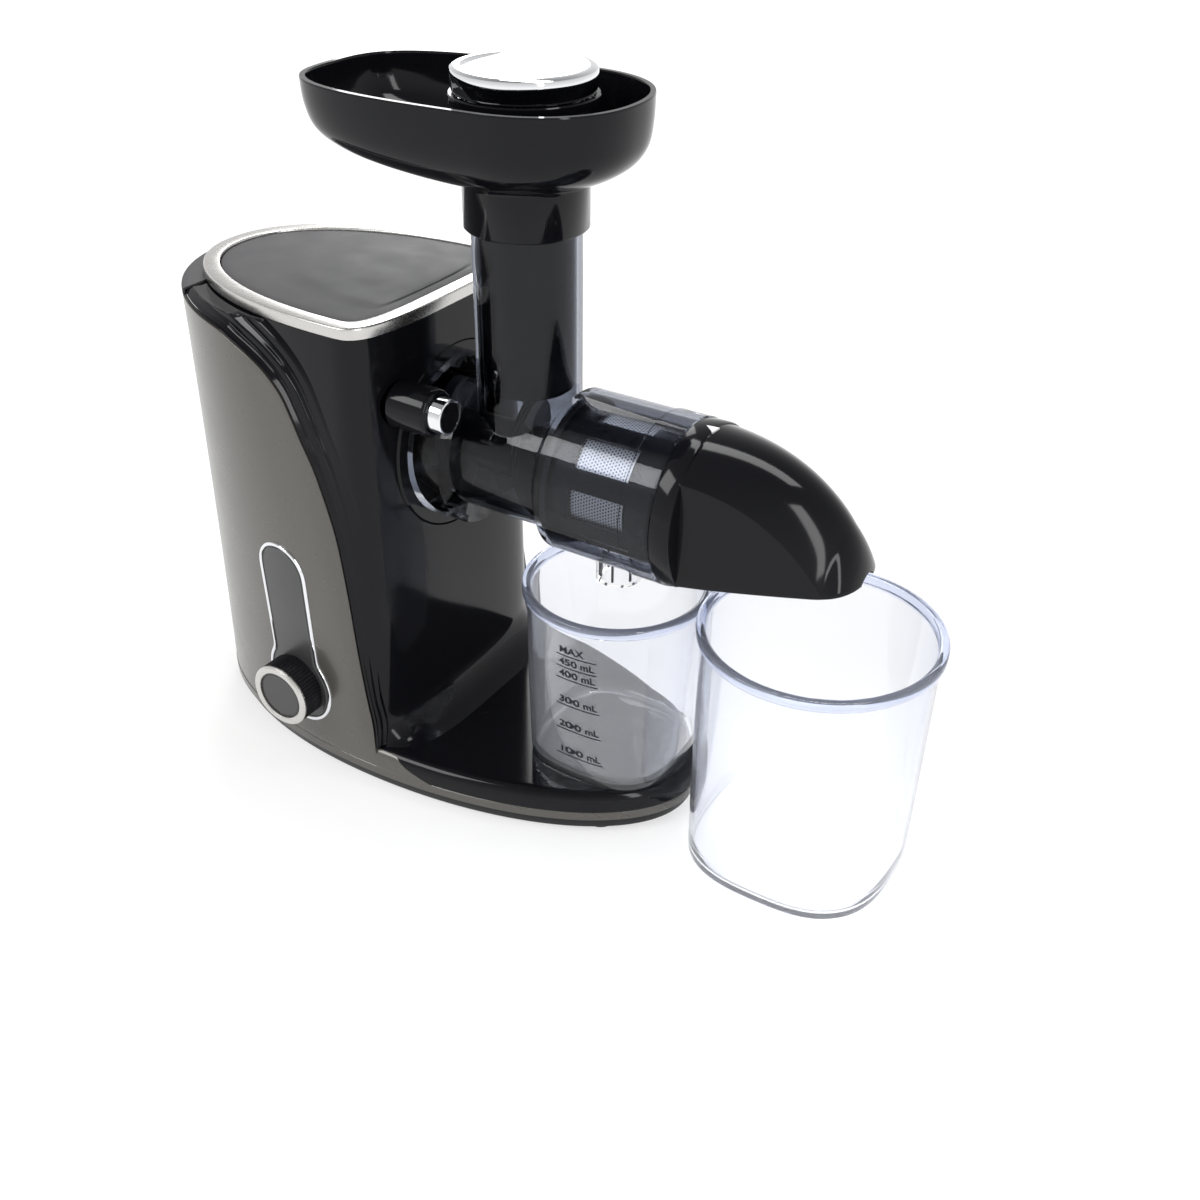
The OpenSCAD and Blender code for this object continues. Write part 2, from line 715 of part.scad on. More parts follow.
// Outline of the gear case, moved in by d, in Y and Z about the auger axis
module case_2d(d) {
    circle(r = auger_gear_r + 2 + case_wall - d);
    translate([0, -stage_slow]) circle(r = middle_gear_r + 2 + case_wall - d);
    translate([-26 + d, -stage_slow]) square([52 - 2 * d, stage_slow]);
    translate([0, motor_z - axis_z]) circle(r = motor_r + 3 - d);
    translate([-22 + d, motor_z - axis_z]) square([44 - 2 * d, stage_fast]);
}

module ears_2d(r) { for (p = ear_spots) translate([p[0], p[1] - axis_z]) circle(r = r); }

module gearbox_case() {
    color(nylon)
    difference() {
        at_x(case_back) linear_extrude(case_len) {
            case_2d(0);
            ears_2d(5.5);
        }
        at_x(case_back + case_wall) linear_extrude(case_len) case_2d(case_wall);
        at_x(case_back - 1) cylinder(r = output_r + 2.5, h = 10);
        at_x(case_back - 1, middle_z) cylinder(r = thin_shaft_r + 2.5, h = 10);
        at_x(case_back - 1, motor_z) cylinder(r = pinion_clear, h = 10);
        at_x(case_front - 14) linear_extrude(20) ears_2d(screw_r);
    }
}

pinion_clear = fast_mod * (pinion_teeth + 2) / 2 + 1;

module gearbox_cover() {
    color(nylon)
    difference() {
        at_x(case_front) linear_extrude(flange_back - case_front) {
            case_2d(0);
            ears_2d(5.5);
        }
        at_x(case_front - 1) cylinder(r = output_r + 2.5, h = 10);
        at_x(case_front - 1, middle_z) cylinder(r = thin_shaft_r + 2.5, h = 10);
        at_x(case_front - 1) linear_extrude(20) ears_2d(screw_r);
    }
}

module gearbox_screws() {
    color(steel)
    for (p = ear_spots) {
        at_x(flange_back, p[1], p[0]) cylinder(r = 2 * screw_r, h = 2.2);
        at_x(case_front - 14, p[1], p[0]) cylinder(r = screw_r, h = flange_back - case_front + 14);
    }
}

module gearbox_bushes() {
    color([0.72, 0.55, 0.30])
    for (x = [case_back, case_front]) {
        h = x == case_back ? case_wall : flange_back - case_front;
        at_x(x) tube(output_r + 2.5, output_r + running, h);
        at_x(x, middle_z) tube(thin_shaft_r + 2.5, thin_shaft_r + running, h);
    }
}

// Spur gear with involute flanks and play between the teeth; a tooth points along the first axis
function inv(a) = tan(a) * 180 / PI - a;
module gear_2d(teeth, m) {
    pitch = teeth * m / 2;
    base = pitch * cos(20);
    root = pitch - 1.2 * m;
    tip = pitch + 0.92 * m;
    half = 90 / teeth - backlash / 2 / pitch * 180 / PI;
    start = max(base, root) + 0.01;
    radii = [for (i = [0 : 3]) mix(start, tip, i / 3)];
    function lean(r) = half + inv(20) - inv(acos(base / r));
    flank = concat([[root, lean(start)]], [for (r = radii) [r, lean(r)]]);
    n = len(flank) - 1;
    function polar(r, a) = [r * cos(a), r * sin(a)];
    polygon([for (i = [0 : teeth - 1]) let (c = 360 * i / teeth) each concat(
        [for (k = [0 : n]) polar(flank[k][0], c - flank[k][1])],
        [for (k = [n : -1 : 0]) polar(flank[k][0], c + flank[k][1])])]);
}

// Gear from x to x + w with one tooth turned to face `facing`
module gear(x, z, teeth, m, w, bore, facing) {
    at_x(x, z) difference() {
        linear_extrude(w) rotate(facing) gear_2d(teeth, m);
        translate([0, 0, -1]) cylinder(r = bore, h = w + 2);
    }
}

slow_x = case_front - 15;
slow_w = 10;
fast_x = case_back + case_wall + 1;
fast_w = 8;

module auger_gear() {
    color(nylon)
    difference() {
        gear(slow_x, axis_z, auger_teeth, slow_mod, slow_w, output_r, -90);
        for (a = [30 : 60 : 330]) at_x(slow_x - 1) rotate(a) translate([auger_gear_r * 0.55, 0, 0])
            cylinder(r = auger_gear_r * 0.17, h = slow_w + 2);
    }
}

module middle_gear() {
    color(nylon)
    gear(fast_x, middle_z, middle_teeth, fast_mod, fast_w, thin_shaft_r, -90);
}

module middle_pinion() {
    color(steel)
    gear(fast_x + fast_w, middle_z, pinion_teeth, slow_mod, case_front - 2 - fast_x - fast_w, thin_shaft_r,
        90 + 180 / pinion_teeth);
}

module middle_shaft() {
    color(steel)
    at_x(case_back + 0.5, middle_z) cylinder(r = thin_shaft_r, h = flange_back - case_back - 1);
}

module motor_pinion() {
    color(steel)
    gear(fast_x - 0.5, motor_z, pinion_teeth, fast_mod, fast_w + 1, thin_shaft_r, 90 + 180 / pinion_teeth);
}

motor_front = case_back;
motor_back = motor_front - motor_len;
cap_w = 8;

module motor_can() {
    color(steel)
    difference() {
        at_x(motor_back, motor_z) cylinder(r = motor_r, h = motor_len);
        at_x(motor_back - 1, motor_z) cylinder(r = motor_r - 2, h = motor_len - 2);
        at_x(motor_back - 1, motor_z) cylinder(r = thin_shaft_r + running, h = motor_len + 9);
    }
}

module motor_end_cap() {
    color(gloss_black)
    difference() {
        union() {
            at_x(motor_back - 3, motor_z) cylinder(r = motor_r, h = 3);
            at_x(motor_back, motor_z) cylinder(r = 9, h = cap_w);
        }
        at_x(motor_back - 9, motor_z) cylinder(r = thin_shaft_r + running, h = 40);
        for (a = [0 : 45 : 315]) at_x(motor_back - 9, motor_z) rotate(a) translate([16, 0, 0]) cylinder(r = 3.5, h = 20);
    }
}

module stator_magnets() {
    color(gloss_black)
    at_x(motor_back + 12, motor_z) difference() {
        tube(motor_r - 2, motor_r - 8, motor_len - 24);
        for (a = [0, 90]) rotate(a) translate([-40, -2, -1]) cube([80, 4, motor_len]);
    }
}

module motor_cradle() {
    color(gloss_black)
    difference() {
        translate([motor_back + 16, -20, base_h]) cube([22, 40, motor_z - motor_r / 2 - base_h]);
        at_x(motor_back, motor_z) cylinder(r = motor_r, h = motor_len);
        translate([motor_back, -12, base_h + 6]) cube([60, 24, 18]);
    }
}

module rotor_core() {
    color(steel)
    at_x(motor_back + 14, motor_z) difference() {
        cylinder(r = motor_r - 9, h = motor_len - 28);
        translate([0, 0, -1]) cylinder(r = thin_shaft_r, h = motor_len);
        for (a = [0 : 36 : 324]) rotate(a) translate([motor_r - 13, -1, -1]) cube([10, 2, motor_len]);
    }
}

fan_w = 7;
fan_x = motor_back - 6 - fan_w;

module motor_shaft() {
    color(steel)
    at_x(fan_x - 1, motor_z) cylinder(r = thin_shaft_r, h = fast_x + fast_w + 1 - fan_x);
}

module cooling_fan() {
    color(nylon)
    at_x(fan_x, motor_z) difference() {
        union() {
            cylinder(r = 8, h = fan_w);
            cylinder(r = motor_r - 6, h = 1.2);
            for (a = [0 : 45 : 315]) rotate(a) translate([7, -0.6, 0]) cube([motor_r - 13, 1.2, fan_w]);
        }
        translate([0, 0, -1]) cylinder(r = thin_shaft_r, h = 20);
    }
}

module circuit_board() {
    color([0.10, 0.32, 0.18]) {
        translate([-84, -14, base_h + 6]) cube([34, 40, 1.6]);
        for (x = [-80, -54]) for (y = [-10, 22]) translate([x, y, base_h]) cylinder(r = 2.5, h = 6);
        translate([-78, 0, base_h + 7.6]) cube([14, 18, 11]);
        for (y = [-6, 4]) translate([-56, y, base_h + 7.6]) cylinder(r = 4, h = 13);
    }
}

module cord_gland() {
    y = width_at(gland_x, gland_z);
    color(rubber)
    difference() {
        union() {
            at_y(gland_x, y + 1.6, gland_z) cylinder(r = gland_r - joint_gap, h = wall + 3.7);
            at_y(gland_x, y + 3.1, gland_z) cylinder(r1 = gland_r + 1, r2 = gland_r + 3, h = 2);
        }
        at_y(gland_x, y + 9, gland_z) cylinder(r = gland_r - 1.6, h = 40);
    }
}

// ---- Output shaft and auger ----

socket_r = 8.5;
hex_r = 5.2;
socket_front = flange_back + 8;
shank_back = socket_front - 7;
chamber_back = flange_back + 4.3;
auger_back = chamber_back + chamber_wall + 1;
auger_end = seam_x - 7;
nose_r = 4;

module output_shaft() {
    color(steel)
    difference() {
        union() {
            at_x(case_back + 0.5) cylinder(r = output_r, h = flange_back - case_back);
            at_x(flange_back + 0.2) cylinder(r = socket_r, h = socket_front - flange_back - 0.2);
        }
        at_x(shank_back) cylinder(r = hex_r, h = 30, $fn = 6);
    }
}

module auger_shank() {
    color(steel)
    at_x(shank_back) cylinder(r = hex_r, h = auger_back + 18 - shank_back, $fn = 6);
}

// Screw that carries the food along: a core that swells towards the strainer and one flight round it
module auger() {
    length = auger_end - auger_back;
    taper_x = drum_x + 6;
    section = [[core_r - 4, -34], [auger_r, -22], [auger_r, -8], [auger_r, 8], [auger_r, 22], [core_r - 4, 34]];
    color(gloss_black)
    difference() {
        union() {
            at_x(auger_back) cylinder(r = core_r + 6, h = 4);
            at_x(auger_back) cylinder(r1 = core_r, r2 = core_r + 2, h = taper_x - auger_back);
            at_x(taper_x) cylinder(r1 = core_r + 2, r2 = auger_r - 3, h = auger_end - taper_x);
            at_x(auger_back) loft([for (k = [0 : 54]) let (b = 360 * length / auger_pitch * k / 54)
                [for (q = section) concat(q[0] * [cos(q[1] + b), sin(q[1] + b)], length * k / 54)]]);
            at_x(auger_end) cylinder(r = nose_r, h = 12);
        }
        at_x(auger_back - 1) cylinder(r = hex_r, h = 19, $fn = 6);
    }
}

// ---- Chamber and strainer ----

front_spigot_r = drum_r - 3;
front_spigot = 8.4;
nozzle_wall = 2.6;
tube_in = tube_r - chamber_wall;

module chamber_solid() {
    at_x(chamber_back) cylinder(r = spigot_r, h = flange_front + slip - chamber_back);
    at_x(flange_front + slip) cylinder(r = collar_r, h = collar_x - flange_front - slip);
    at_x(collar_x - 1) cylinder(r = neck_r, h = drum_x - 6 - collar_x + 1);
    at_x(drum_x - 6) cylinder(r1 = neck_r, r2 = drum_r, h = 6);
    at_x(drum_x) cylinder(r = drum_r, h = seam_x - slip - drum_x);
    at_x(seam_x - 15) cylinder(r = drum_r + 0.8, h = 15 - slip);
    at_x(seam_x - 1) cylinder(r = front_spigot_r, h = front_spigot + 1);
    translate([0, 0, axis_z]) cylinder(r = tube_r, h = tube_top - axis_z);
    translate([nozzle_x, 0, nozzle_z]) cylinder(r = nozzle_r, h = axis_z - drum_r + 6 - nozzle_z);
    at_x(lug_x) sectors(spigot_r + lug_out, spigot_r - 2, lug_w, 24, 90);
}

module chamber_hollow() {
    at_x(chamber_back + chamber_wall) cylinder(r = neck_r - chamber_wall, h = drum_x + 1 - chamber_back - chamber_wall + 1);
    at_x(drum_x + 1) cylinder(r = drum_r - chamber_wall, h = seam_x - 3 - drum_x - 1);
    at_x(seam_x - 4) cylinder(r = front_spigot_r - chamber_wall, h = 30);
    at_x(chamber_back - 1) cylinder(r = socket_r + 1, h = 9);
    translate([0, 0, axis_z]) cylinder(r = tube_in, h = tube_top);
    translate([nozzle_x, 0, nozzle_z - 1]) cylinder(r = nozzle_r - nozzle_wall, h = axis_z - drum_r + 8 - nozzle_z);
    at_x(chamber_back + 1.5) tube(spigot_r + 5, spigot_r - 1.5, seal_w);
    at_x(seam_x + 3) tube(front_spigot_r + 5, front_spigot_r - 1.4, seal_w);
}

seal_w = 2.4;

module chamber_body() {
    color(smoke, 0.75)
    difference() {
        chamber_solid();
        chamber_hollow();
    }
}

module chamber_seal() {
    color(rubber)
    at_x(chamber_back + 1.5) tube(spigot_r + 0.2, spigot_r - 1.5, seal_w);
}

module spout_seal() {
    color(rubber)
    at_x(seam_x + 3) tube(front_spigot_r + 0.3, front_spigot_r - 1.4, seal_w);
}

frame_w = 2;
sieve_w = 0.6;
window_x = drum_x + 8;
window_len = seam_x - 21 - window_x;
hub_x = seam_x + 1;
end_ring_r = front_spigot_r - chamber_wall - slip;

module strainer_frame() {
    color(gloss_black)
    difference() {
        union() {
            at_x(drum_x + 1.2) tube(drum_r - chamber_wall - slip, strainer_r - 1, 3);
            at_x(drum_x + 1.2) tube(strainer_r, strainer_r - frame_w, seam_x - 1 - drum_x);
            at_x(seam_x - 3) tube(end_ring_r, strainer_r - frame_w, front_spigot + 2);
            at_x(hub_x) {
                cylinder(r = nose_r + 4, h = 6);
                for (a = [30, 150, 270]) rotate(a) translate([2, -1.6, 0]) cube([strainer_r - frame_w - 1, 3.2, 5]);
            }
        }
        at_x(hub_x - 1) cylinder(r = nose_r + running, h = 20);
        for (i = [0 : windows - 1]) at_x(window_x) rotate(360 * (i + 0.5) / windows) {
            a = 360 / windows * 0.34;
            linear_extrude(window_len) polygon([[strainer_r - frame_w - 2, 0],
                for (b = [-a, 0, a]) (strainer_r + 3) * [cos(b), sin(b)]]);
        }
    }
}

module strainer_mesh() {
    color(silver)
    at_x(window_x - 3) tube(strainer_r - frame_w, strainer_r - frame_w - sieve_w, window_len + 6);
}

// ---- Spout ----

spout_ring = 10;
spout_wall = 2.8;
spout_x0 = seam_x + spout_ring - 1;
spout_end = seam_x + spout_len;
function along(x) = (x - seam_x) / spout_len;
function crown_z(x) = lip_z + 1 + (axis_z + drum_r - lip_z - 1) * pow(1 - pow(along(x), 2.7), 1 / 1.5);
function nose_close(s) = s < 0.8 ? 1 : pow(max(0, 1 - pow((s - 0.8) / 0.2, 2.5)), 0.4);
function flat_y(x) = mix(spout_w, nose_w, min(1, along(x) / 0.87)) * nose_close(along(x));
function fall(s) = mix(13.5, 24, pow(s / 0.8, 2));
function ridge_z(x) = max(crown_z(x) - fall(along(x)), lower_z(x) + 0.6);
function lower_z(x) = mix(mouth_z, lip_z, pow(max(0, along(x) - 0.1) / 0.9, 1.2));

// Closed outline of the spout at x: a crown between two ridges, flat sides and the lower edge
function spout_row(x, d, drop) =
    let (w = max(flat_y(x) - d, 0.4), t = crown_z(x) - d, r = min(ridge_z(x) - d * 0.6, t - 0.2), b = lower_z(x) - drop)
    concat([for (i = [6 : -1 : -6]) [x, w * i / 6, t - (t - r) * pow(abs(i / 6), 2)]],
        [for (k = [1 : 3]) [x, -w, mix(r, b, k / 4)]],
        [for (i = [-4 : 4]) [x, w * i / 4, b]],
        [for (k = [3 : -1 : 1]) [x, w, mix(r, b, k / 4)]]);

module pulp_spout() {
    steps = 12;
    function at(i) = mix(spout_x0, spout_end - 0.3, sin(90 * i / steps));
    color(gloss_black)
    difference() {
        union() {
            at_x(seam_x) cylinder(r = drum_r + 0.4, h = spout_ring);
            loft([for (i = [0 : steps]) spout_row(at(i), 0, 0)]);
        }
        loft([for (i = [-1 : steps]) spout_row(i < 0 ? spout_x0 - 3 : at(i) - spout_wall * i / steps, spout_wall, 12)]);
        at_x(seam_x - 1) cylinder(r = front_spigot_r + 0.4, h = spout_ring - 0.6);
    }
}

module lock_marker() {
    color("white")
    intersection() {
        at_x(seam_x + 2) tube(drum_r + 0.65, drum_r + 0.4, 7);
        translate([0, 0, axis_z]) linear_extrude(60) polygon([[seam_x + 2.6, -2.6], [seam_x + 7.8, 0], [seam_x + 2.6, 2.6]]);
    }
}

// ---- Hopper and pusher ----

hopper_mid = 2.6;
hopper_wall = 2.6;
floor_z = tube_top + 7;
tray_h = hopper_top - floor_z;

// Outline between the neck's circle (m = 0) and the tray's full outline (m = 1)
function hopper_row(m, z, d) = [for (t = turns(52))
    let (e = egg(t, hopper_long - d, hopper_short - d, hopper_b - d, 3.2, 2.2), r = d == 0 ? hopper_neck_r - 1.2 : tube_in + 1.2)
    [mix(r * cos(t), hopper_mid + e[0], m), mix(r * sin(t), e[1], m), z]];

tray_shape = [[0, 0], [0.3, 0.05], [0.6, 0.15], [0.8, 0.27], [0.93, 0.44], [0.985, 0.7], [1, 1]];

module hopper() {
    color(gloss_black)
    rotate(hopper_turn) {
        loft(concat(
            [for (p = tray_shape) hopper_row(p[0], floor_z + tray_h * p[1], 0)],
            [for (i = [len(tray_shape) - 1 : -1 : 0]) let (p = tray_shape[i])
                hopper_row(p[0], floor_z + tray_h * p[1] + hopper_wall * (1 - p[1]), hopper_wall)]), ring = true);
        difference() {
            translate([0, 0, hopper_neck_z]) cylinder(r = hopper_neck_r, h = floor_z + hopper_wall - 0.4 - hopper_neck_z);
            translate([0, 0, hopper_neck_z - 1]) cylinder(r = tube_r + slip, h = tube_top + slip - hopper_neck_z + 1);
            translate([0, 0, hopper_neck_z - 1]) cylinder(r = tube_in, h = 60);
        }
    }
}

pusher_r = tube_in - 0.8;
flange_top = cap_top - 10.5;
pusher_seat = floor_z + 5;

module pusher_stem() {
    color(gloss_black)
    rotate_extrude() polygon([
        [0, floor_z - pusher_len], [pusher_r - 2, floor_z - pusher_len], [pusher_r, floor_z - pusher_len + 2],
        [pusher_r, pusher_seat], [pusher_r + 4, pusher_seat + 1], [pusher_r + 4, flange_top - 9],
        [cap_r + 1, flange_top - 4], [cap_r + 1, flange_top], [cap_r - 1, flange_top], [cap_r - 2, flange_top - 2.5],
        [0, flange_top - 2.5]]);
}

module pusher_cap() {
    color(silver)
    rotate_extrude() polygon([
        [0, flange_top - 2.5], [cap_r - 6, flange_top - 2.5], [cap_r - 5, flange_top + 3], [cap_r - 1, flange_top + 6.5],
        [cap_r, flange_top + 8], [cap_r - 0.2, cap_top - 1.3], [cap_r - 1.5, cap_top - 0.4], [cap_r - 4, cap_top],
        [0, cap_top - 0.6]]);
}

// ---- Cups ----

lip = 2.4;
lip_h = 5;

// Cup with a rounded square foot that becomes a round mouth with a thick lip
module cup(foot, rim, h, turn_n) {
    body = rim - lip;
    lip_f = 1 - lip_h / h;
    function row(f, d, z) = [for (t = turns(44))
        let (a = mix(foot, body, min(1, f / lip_f)) - d, n = mix(turn_n, 2, min(1, f / lip_f))) concat(egg(t, a, a, a, n, n), z)];
    fs = [0.05, 0.3, 0.6, lip_f];
    loft(concat(
        [row(0, 2.2, 0), row(0.012, 0.7, 0.012 * h)], [for (f = fs) row(f, 0, f * h)],
        [row(1, -lip, lip_f * h), row(1, -lip, h), row(1, cup_wall, h)],
        [for (i = [3 : -1 : 0]) row(fs[i], cup_wall, fs[i] * h)], [row(0.02, cup_wall + 1.5, 2.5)]));
}

module juice_cup() {
    color(clear, 0.4)
    translate([juice_x, 0, base_h]) cup(juice_foot, juice_r, juice_h, 2.9);
}

module pulp_cup() {
    color(clear, 0.4)
    translate([pulp_x, pulp_y, 0]) cup(pulp_foot, pulp_r, pulp_h, 2.8);
}

// ---- Nodes ----

placed() body_shell();
placed() side_panel();
placed() joint_trim();
placed() base_trim();
placed() bottom_cover();
placed() foot_pads();
placed() bottom_screws();
placed() shoulder_plate();
placed() top_ring();
placed() top_plate();
placed() control_bezel();
placed() control_inlay();
placed() lock_flange();
placed() shaft_seal();
placed() button_housing();
placed() gearbox_case();
placed() gearbox_cover();
placed() gearbox_screws();
placed() gearbox_bushes();
placed() motor_can();
placed() motor_end_cap();
placed() stator_magnets();
placed() motor_cradle();
placed() rotary_switch();
placed() circuit_board();
placed() cord_gland();
placed() rotor_core();
placed() motor_shaft();
placed() motor_pinion();
placed() cooling_fan();
placed() middle_gear();
placed() middle_pinion();
placed() middle_shaft();
placed() auger_gear();
placed() output_shaft();
placed() auger();
placed() auger_shank();
placed() knob_grip();
placed() knob_ring();
placed() knob_cap();
placed() knob_shaft();
placed() button_cap();
placed() button_stem();
placed() button_spring();
placed() chamber_body();
placed() chamber_seal();
placed() strainer_frame();
placed() strainer_mesh();
placed() pulp_spout();
placed() spout_seal();
placed() lock_marker();
placed() hopper();
placed() pusher_stem();
placed() pusher_cap();
placed() juice_cup();
placed() pulp_cup();
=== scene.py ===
"""Looks of a horizontal cold press juicer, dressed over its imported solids."""

import logging
import math
from dataclasses import dataclass
from enum import Enum
from typing import Any, Callable, Sequence

import bmesh
import bpy
from mathutils import Matrix, Vector

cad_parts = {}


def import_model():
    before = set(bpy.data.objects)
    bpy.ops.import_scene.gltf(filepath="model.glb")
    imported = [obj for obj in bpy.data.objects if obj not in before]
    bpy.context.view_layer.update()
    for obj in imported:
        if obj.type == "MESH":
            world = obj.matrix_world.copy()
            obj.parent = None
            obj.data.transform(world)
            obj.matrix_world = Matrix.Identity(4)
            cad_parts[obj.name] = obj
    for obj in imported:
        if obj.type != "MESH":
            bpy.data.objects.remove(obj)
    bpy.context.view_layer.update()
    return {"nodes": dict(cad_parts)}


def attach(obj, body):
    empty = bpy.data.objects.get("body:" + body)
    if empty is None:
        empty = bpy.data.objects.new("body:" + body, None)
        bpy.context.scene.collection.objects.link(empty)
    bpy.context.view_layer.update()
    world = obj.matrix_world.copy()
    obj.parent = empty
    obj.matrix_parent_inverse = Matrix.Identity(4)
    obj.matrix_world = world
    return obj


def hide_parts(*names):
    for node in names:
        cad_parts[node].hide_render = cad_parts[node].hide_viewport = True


log = logging.getLogger("juicer")

# Measures are in millimetres about the feed tube's axis, unless a comment says otherwise.
MM = 0.001
FEED_X, FEED_Y = -3.5, 5.0
AXIS_Z = 175.0
COAT_ROUGH = 0.03
# How far the floor lies below the feet, in metres.
FLOOR_DROP = 0.0002
# The camera's sensor in millimetres, and the picture's width in pixels.
SENSOR, FRAME_PX = 36.0, 1200
# The sieve's radius, the pitch and the row height of its holes in metres, and a hole's share of its cell.
SIEVE_R, HOLE_PITCH, HOLE_ROW, HOLE_SHARE = 0.0302, 0.00165, 0.00143, 0.27
Pair = tuple[float, float]
Point = tuple[float, float, float]
Place = Callable[[float, float], Point]
Outline = Callable[[float, float], Pair]
Piece = bpy.types.Object


def rotated(x: float, y: float, angle: float) -> Pair:
    """Turns a point about the origin, by an angle in radians."""
    return x * math.cos(angle) - y * math.sin(angle), x * math.sin(angle) + y * math.cos(angle)


def put(x: float, y: float, z: float) -> Vector:
    """Turns millimetres about the feed tube into metres in the shared frame."""
    return Vector(((x + FEED_X) * MM, (y + FEED_Y) * MM, z * MM))


def mix(a: float, b: float, s: float) -> float:
    """Goes from a to b as s goes from 0 to 1."""
    return a + (b - a) * s


def clamp(v: float, low: float = 0.0, high: float = 1.0) -> float:
    """Keeps v between low and high."""
    return max(low, min(high, v))


def ease(s: float) -> float:
    """Smooth step from 0 to 1."""
    s = clamp(s)
    return s * s * (3 - 2 * s)


def table(keys: Sequence[Pair], at: float) -> float:
    """Reads a value between the points of a table of (key, value) rows."""
    if at <= keys[0][0]:
        return keys[0][1]
    for (ka, va), (kb, vb) in zip(keys, keys[1:]):
        if at <= kb:
            return mix(va, vb, (at - ka) / (kb - ka))
    return keys[-1][1]


def egg(angle: float, left: float, right: float, half: float, nl: float, nr: float) -> Pair:
    """Point of a closed superellipse whose left and right halves differ."""
    c, s = math.cos(angle), math.sin(angle)
    n, a = (nl, left) if c < 0 else (nr, right)
    return (a * math.copysign(abs(c) ** (2 / n), c), half * math.copysign(abs(s) ** (2 / n), s))


# ---------------------------------------------------------------- shader maths


class Value:
    """A number on a shader socket, with the usual operators."""

    def __init__(self, graph: "Graph", socket: Any) -> None:
        """Keeps the socket and the graph that it belongs to."""
        self.graph, self.socket = graph, socket

    def apply(self, operation: str, *others: Any) -> "Value":
        """Any operation of the Math node, by its name, on this number and others."""
        return self.graph.maths(operation, self, *others)

    def __add__(self, other: Any) -> "Value":
        """Sum."""
        return self.apply("ADD", other)

    __radd__ = __add__

    def __mul__(self, other: Any) -> "Value":
        """Product."""
        return self.apply("MULTIPLY", other)

    __rmul__ = __mul__

    def __sub__(self, other: Any) -> "Value":
        """Difference."""
        return self.apply("SUBTRACT", other)

    def __rsub__(self, other: Any) -> "Value":
        """Difference the other way round."""
        return self.graph.maths("SUBTRACT", other, self)

    def __truediv__(self, other: Any) -> "Value":
        """Quotient."""
        return self.apply("DIVIDE", other)

    def __pow__(self, other: Any) -> "Value":
        """Power."""
        return self.apply("POWER", other)

    def __lt__(self, other: Any) -> "Value":
        """1 where it is less."""
        return self.apply("LESS_THAN", other)


class Graph:
    """The node tree of one material, or of the world."""

    def __init__(self, name: str, world: bool = False) -> None:
        """Makes an empty material or world.

        Args:
            name: Its name.
            world: True for a world.
        """
        self.material = (bpy.data.worlds if world else bpy.data.materials).new(name)
        self.material.use_nodes = True
        self.tree = self.material.node_tree
        self.tree.nodes.clear()

    def white_rays(self) -> tuple[Value, Value]:
        """Which rays see white surroundings: 1 for the eye's rays, also through glass, and 1 for mirrored rays."""
        path = self.node("ShaderNodeLightPath").outputs
        eye, through, mirrored = (Value(self, path[f"Is {way} Ray"]) for way in ("Camera", "Transmission", "Glossy"))
        return eye.apply("MAXIMUM", through), mirrored

    def node(self, kind: str, settings: dict[str, Any] | None = None, inputs: dict[Any, Any] | None = None) -> Any:
        """Adds one node.

        Args:
            kind: The node's type.
            settings: Properties that are set first.
            inputs: Values or links by socket name or index.

        Returns:
            The node.
        """
        made = self.tree.nodes.new(kind)
        for key, value in (settings or {}).items():
            setattr(made, key, value)
        for key, value in (inputs or {}).items():
            if isinstance(value, Value):
                value = value.socket
            if isinstance(value, bpy.types.NodeSocket):
                self.tree.links.new(value, made.inputs[key])
            elif isinstance(value, tuple) and len(value) == 3 and len(made.inputs[key].default_value) == 4:
                made.inputs[key].default_value = (*value, 1.0)
            else:
                made.inputs[key].default_value = value
        return made

    def maths(self, operation: str, *values: Any) -> Value:
        """Adds a Math node on numbers and Values."""
        return Value(self, self.node("ShaderNodeMath", {"operation": operation}, dict(enumerate(values))).outputs[0])

    def axes(self) -> tuple[Value, Value, Value]:
        """The three object coordinates, in metres."""
        coord = self.node("ShaderNodeTexCoord")
        split = self.node("ShaderNodeSeparateXYZ", {}, {0: coord.outputs["Object"]})
        return tuple(Value(self, split.outputs[k]) for k in range(3))

    def noise(self, scale: Point, detail: float = 3.0, rough: float = 0.5) -> Value:
        """Noise over the object coordinates, stretched by a scale on each axis."""
        coord = self.node("ShaderNodeTexCoord")
        mapped = self.node("ShaderNodeMapping", {}, {"Vector": coord.outputs["Object"], "Scale": scale})
        made = self.node("ShaderNodeTexNoise", {}, {"Vector": mapped.outputs[0], "Scale": 1.0, "Detail": detail,
                                                   "Roughness": rough})
        return Value(self, made.outputs[0])

    def blend(self, share: Value, a: Any, b: Any) -> Any:
        """Colour that goes from a to b."""
        return self.node("ShaderNodeMix", {"data_type": "RGBA"}, {0: share, 6: a, 7: b}).outputs[2]

    def bump(self, height: Value, depth: float, strength: float = 1.0) -> Any:
        """Normal from a height, in metres of depth."""
        return self.node("ShaderNodeBump", {}, {"Strength": strength, "Distance": depth, "Height": height}).outputs[0]

    def surface(self, inputs: dict[str, Any]) -> bpy.types.Material:
        """Ends the tree in one Principled shader."""
        shader = self.node("ShaderNodeBsdfPrincipled", {}, inputs)
        self.node("ShaderNodeOutputMaterial", {}, {0: shader.outputs[0]})
        return self.material


# ---------------------------------------------------------------- finishes


class Grain(Enum):
    """How the surface of a finish is broken up."""

    MOULDED = "moulded"
    PAINTED = "painted"
    BRUSHED = "brushed"
    TURNED = "turned"
    SIEVE = "sieve"
    GLASS = "glass"


